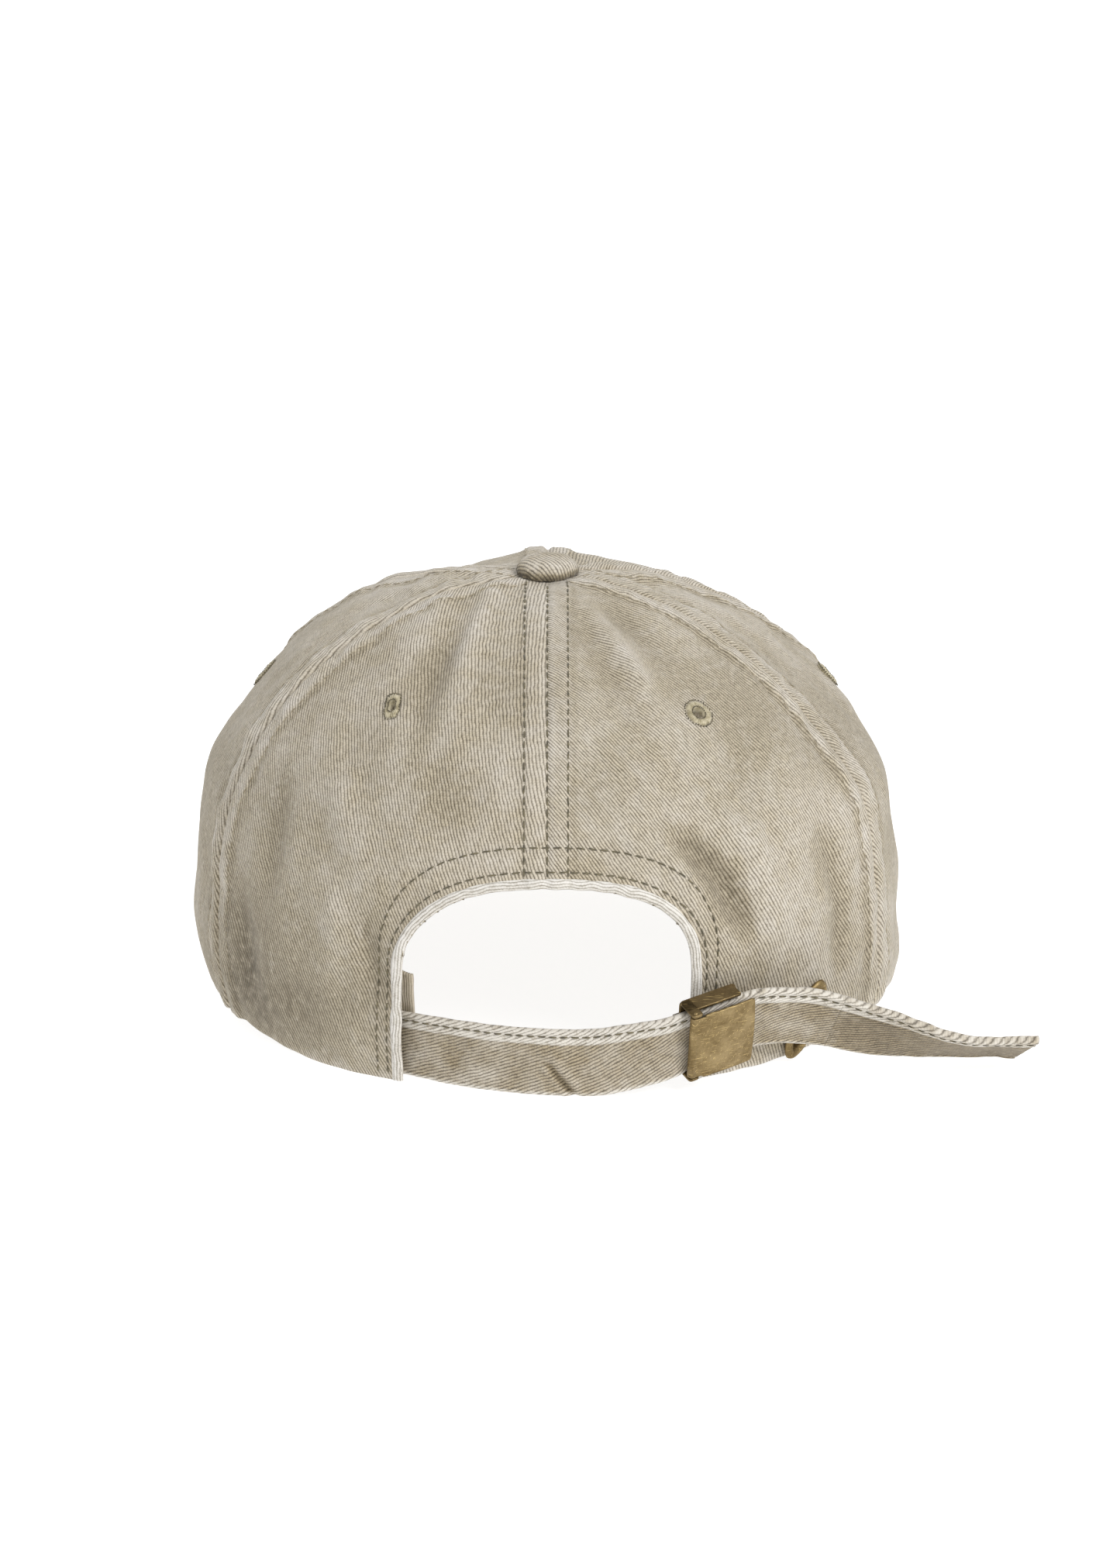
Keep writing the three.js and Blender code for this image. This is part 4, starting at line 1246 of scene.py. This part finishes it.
def rounded_bar(outline, depth_low, depth_high, radius, plane):
    """Slab from a closed outline with rounded edges; plane puts (a, b, depth) into local space."""
    outline = np.array(outline, float)
    centre = outline.mean(0)
    inward = unit(np.gradient(outline, axis=0)) @ np.array([[0, 1], [-1, 0]])
    if ((centre - outline) * inward).sum() < 0:
        inward = -inward
    rings = []
    steps = np.linspace(0, math.pi / 2, 4)
    for start, sign, order in ((depth_low, 1, steps), (depth_high, -1, steps[::-1])):
        for a in order:
            edge = outline + inward * radius * (1 - math.sin(a))
            rings.append((edge, start + sign * radius * (1 - math.cos(a))))
    verts = np.concatenate([plane(p[:, 0], p[:, 1], np.full(len(p), d)) for p, d in rings])
    return verts, capped_tube(len(rings), len(outline))


def merge(parts):
    verts, faces, count = [], [], 0
    for v, f in parts:
        verts.append(v)
        faces += [tuple(np.array(face) + count) for face in f]
        count += len(v)
    return np.concatenate(verts), faces


def metal_piece(name, parts, material, body, node):
    verts, faces = merge(parts)
    piece = new_object(name, clasp_place(verts), faces, body=body)
    piece.modifiers.new("creases", "EDGE_SPLIT").split_angle = 50 * DEG
    dress(piece, material, "antique_brass", node)


def rounded_rectangle(a0, a1, b0, b1, radius):
    left, right, low, high = a0 + radius, a1 - radius, b0 + radius, b1 - radius
    points = []
    for a, b, start in ((right, high, 0), (left, high, 90), (left, low, 180), (right, low, 270)):
        for k in range(CORNER_STEPS + 1):
            t = (start + 90 * k / CORNER_STEPS) * DEG
            points.append((a + radius * math.cos(t), b + radius * math.sin(t)))
    return points


def cylinder(x, out, radius, half):
    t = turns(PIN_SIDES)
    small, low, high = radius - PIN_EDGE, PIN_EDGE - half, half - PIN_EDGE
    rings = ((small, -half), (radius, low), (radius, high), (small, half))
    verts = [np.stack([x + r * np.cos(t), out + r * np.sin(t), 0 * t + z], -1) for r, z in rings]
    return np.concatenate(verts), capped_tube(len(rings), PIN_SIDES)


def flat_on(a, b, d):
    return np.stack([a, d, b], -1)


def upright_on(a, b, d):
    return np.stack([a, b, d], -1)


def make_clasp_frame():
    half, rear = CLASP_LEN / 2, CLASP_BACK - SHEET / 2
    back = rounded_rectangle(-half, half, -CLASP_HALF_H, CLASP_HALF_H, 1.2)
    parts = [rounded_bar(back, CLASP_BACK - SHEET, CLASP_BACK, 0.25, flat_on)]
    cheek = rounded_rectangle(-half, half - SHEET, rear, CHEEK_OUT, 0.5)
    ear = rounded_rectangle(-half, EAR_END_X, rear, EAR_OUT, 0.9)
    for outline in (cheek, ear):
        parts.append(rounded_bar(outline, CLASP_HALF_H - SHEET, CLASP_HALF_H, 0.25, upright_on))
        parts.append(rounded_bar(outline, -CLASP_HALF_H, SHEET - CLASP_HALF_H, 0.25, upright_on))
    metal_piece("brass_clasp_frame", parts, DARK_BRASS, "crown", "clasp_frame")


def make_clasp_lever():
    end = PIN_X + LEVER_LEN
    top = PIN_OUT + BARREL_R
    outline = np.array(rounded_rectangle(EAR_END_X + 0.3, end, -LEVER_HALF_H, LEVER_HALF_H, 0.8))
    outline = even(np.concatenate([outline, outline[:1]]), 0.7)[:-1]
    bow = 1 - (outline[:, 1] / LEVER_HALF_H) ** 2
    outline[:, 0] += 0.4 * bow * (outline[:, 0] > end - 2.0)

    def domed(a, b, d):
        rise = 0.3 * np.sin(np.clip((a - PIN_X) / LEVER_LEN, 0, 1) * math.pi)
        return np.stack([a, d + rise, b], -1)

    plate = rounded_bar(outline, top - SHEET, top, 0.3, domed)
    neck = rounded_rectangle(PIN_X - 0.2, EAR_END_X + 2.0, -LEVER_NECK, LEVER_NECK, 0.3)
    root = rounded_bar(neck, top - SHEET + 0.05, top - 0.05, 0.25, domed)
    barrel = cylinder(PIN_X, PIN_OUT, BARREL_R, LEVER_NECK)
    metal_piece("brass_clasp_lever", [plate, root, barrel], BRASS, "lever", "clasp_lever")


def make_clasp():
    make_clasp_frame()
    pin = cylinder(PIN_X, PIN_OUT, PIN_R, CLASP_HALF_H + 0.4)
    metal_piece("brass_clasp_pin", [pin], BRASS, "crown", "clasp_pin")
    make_clasp_lever()
    make_clasp_tab()


TAB_ALONG = (-9.5, 2.0)
TAB_MIDDLE_Z = 1.5
TAB_HALF_H = 5.0
TAB_OUT = -4.15
TAB_HALF_T = 0.5


def make_clasp_tab():
    """Folded cloth tab between the clasp and the right panel."""
    x = np.linspace(*TAB_ALONG, 28)
    points = clasp_place(np.stack([x, TAB_OUT + 0 * x, TAB_MIDDLE_Z + 0 * x], -1))
    along = directions(points)
    up = clasp_place(np.array([0, 0, 1.0])) - clasp_place(np.zeros(3))
    up = np.broadcast_to(up, points.shape)
    out = np.cross(along, up)
    turn = turns(40)
    wide = np.sign(np.cos(turn)) * np.abs(np.cos(turn)) ** 0.35 * TAB_HALF_H
    shape = np.stack([wide, np.sin(turn) * TAB_HALF_T], -1)
    verts, faces, uv = sweep(points, up, out, lambda k: shape)
    tab = new_object("cloth_clasp_tab", verts, faces, uv=uv)
    dress(tab, STRAP, "strap_twill", "clasp_tab")


GROMMET = (67.0, 11.8)
GROMMET_TILT = -24.0
GROMMET_OUTER = (5.2, 11.4)
GROMMET_SLOT = (2.3, 8.4)
GROMMET_HOLE = (3.6, 9.8)
# Sections of the metal rings: share of the way from the slot to the rim, and height above the cloth
FLANGE = (
    *((0, -2.6), (0, 0.7), (0.12, 1.25), (0.4, 1.6), (0.7, 1.5), (0.93, 1.0), (1, 0.45)),
    *((0.9, 0.3), (0.3, 0.3), (0.24, -2.6)),
)
WASHER = ((0.36, -2.3), (0.9, -2.3), (0.96, -2.0), (0.9, -1.75), (0.36, -1.75))


def make_grommet():
    phi, q = back_at(*GROMMET)
    origin, right, up, out = local_frame(phi, q, GROMMET_TILT * DEG)
    turn = turns(96)

    def loop(share_out, lift):
        a = GROMMET_SLOT[0] + (GROMMET_OUTER[0] - GROMMET_SLOT[0]) * share_out
        b = GROMMET_SLOT[1] + (GROMMET_OUTER[1] - GROMMET_SLOT[1]) * share_out
        return origin + right * (a * np.cos(turn))[:, None] + up * (b * np.sin(turn))[:, None] + out * lift

    def ring(name, rings, material, node):
        verts = np.concatenate([loop(s, h) for s, h in rings])
        faces = grid_faces(len(rings), len(turn), closed_cols=True, closed_rows=True)
        dress(new_object(name, verts, faces), material, "antique_brass", node)

    ring("brass_grommet", FLANGE, BRASS, "grommet_flange")
    ring("brass_grommet_washer", WASHER, DARK_BRASS, "grommet_washer")


def dress_cad_nodes():
    """Carried-over solids keep their shape and get a finished material."""
    carried = {"visor_board": make_board(), "button_core": DARK_BRASS, "button_rivet": BRASS}
    for node, material in carried.items():
        slots = bpy.data.objects[node].data.materials
        slots.clear()
        slots.append(material)


# ---------------- camera, floor and light
CAMERA_ELEVATION = 19.0
CAMERA_DISTANCE = 1.8
PICTURE_COVERS = 2023 / 4780  # metres of height at the cap
CAMERA_SENSOR = 36
CAMERA_LENS = CAMERA_SENSOR * CAMERA_DISTANCE / PICTURE_COVERS
AIM = (0.0033, 0.0, 0.0555)
# Name, place, size in metres and power in watts
LIGHTS = (
    ("key", (1.15, -1.15, 1.45), 0.9, 31),
    ("fill", (-1.4, -1.0, 0.9), 1.2, 3),
    ("front", (-0.7, 1.3, 1.5), 1.2, 14),
)
LIGHTS_AIM = (0, 0, 0.05)
FLOOR_HALF = 6.0
FLOOR_GLOW = 0.86
WORLD_GLOW = 0.44
WHITE = (1, 1, 1, 1)


def make_camera():
    data = bpy.data.cameras.new("camera")
    data.lens = CAMERA_LENS
    camera = bpy.data.objects.new("camera", data)
    bpy.context.collection.objects.link(camera)
    e = CAMERA_ELEVATION * DEG
    away = Vector((0, -math.cos(e), math.sin(e)))
    camera.location = Vector(AIM) + CAMERA_DISTANCE * away
    camera.rotation_euler = (math.pi / 2 - e, 0, 0)
    bpy.context.scene.camera = camera


def make_light(name, place, size, power):
    data = bpy.data.lights.new(name, "AREA")
    data.size, data.energy = size, power
    light = bpy.data.objects.new(name, data)
    bpy.context.collection.objects.link(light)
    light.location = place
    light.rotation_euler = (Vector(LIGHTS_AIM) - Vector(place)).to_track_quat("-Z", "Y").to_euler()


def make_studio():
    mat, _, shader = nodes_of("pale floor", 0.9)
    shader.inputs["Base Color"].default_value = (0.4, 0.4, 0.4, 1)
    shader.inputs["Emission Color"].default_value = WHITE
    shader.inputs["Emission Strength"].default_value = FLOOR_GLOW
    mesh = bpy.data.meshes.new("floor")
    s = FLOOR_HALF
    mesh.from_pydata([(-s, -s, 0), (s, -s, 0), (s, s, 0), (-s, s, 0)], [], [(0, 1, 2, 3)])
    mesh.materials.append(mat)
    floor = bpy.data.objects.new("floor", mesh)
    bpy.context.collection.objects.link(floor)
    world = bpy.data.worlds.new("studio")
    bpy.context.scene.world = world
    world.use_nodes = True
    background = world.node_tree.nodes["Background"]
    background.inputs[0].default_value = WHITE
    background.inputs[1].default_value = WORLD_GLOW
    for light in LIGHTS:
        make_light(*light)
    bpy.context.scene.view_settings.view_transform = "Standard"


def make_cap():
    make_crown()
    make_arch_edge()
    make_tapes()
    make_facing()
    back_rows = Stitches("back_topstitch", THREAD)
    seam_rows = Stitches("seam_topstitch", TONAL_THREAD)
    stitch_seams(back_rows, seam_rows)
    stitch_arch(back_rows)
    back_rows.build()
    seam_rows.build()
    lining_rows = Stitches("lining_topstitch", PALE_THREAD)
    make_sweatband(lining_rows)
    lining_rows.build(slot="sweatband_cloth")
    visor_rows = Stitches("visor_topstitch", THREAD)
    make_visor(visor_rows)
    visor_rows.build()
    make_button()
    make_eyelets()
    make_strap()
    make_clasp()
    make_grommet()
    dress_cad_nodes()


make_cap()
make_camera()
make_studio()
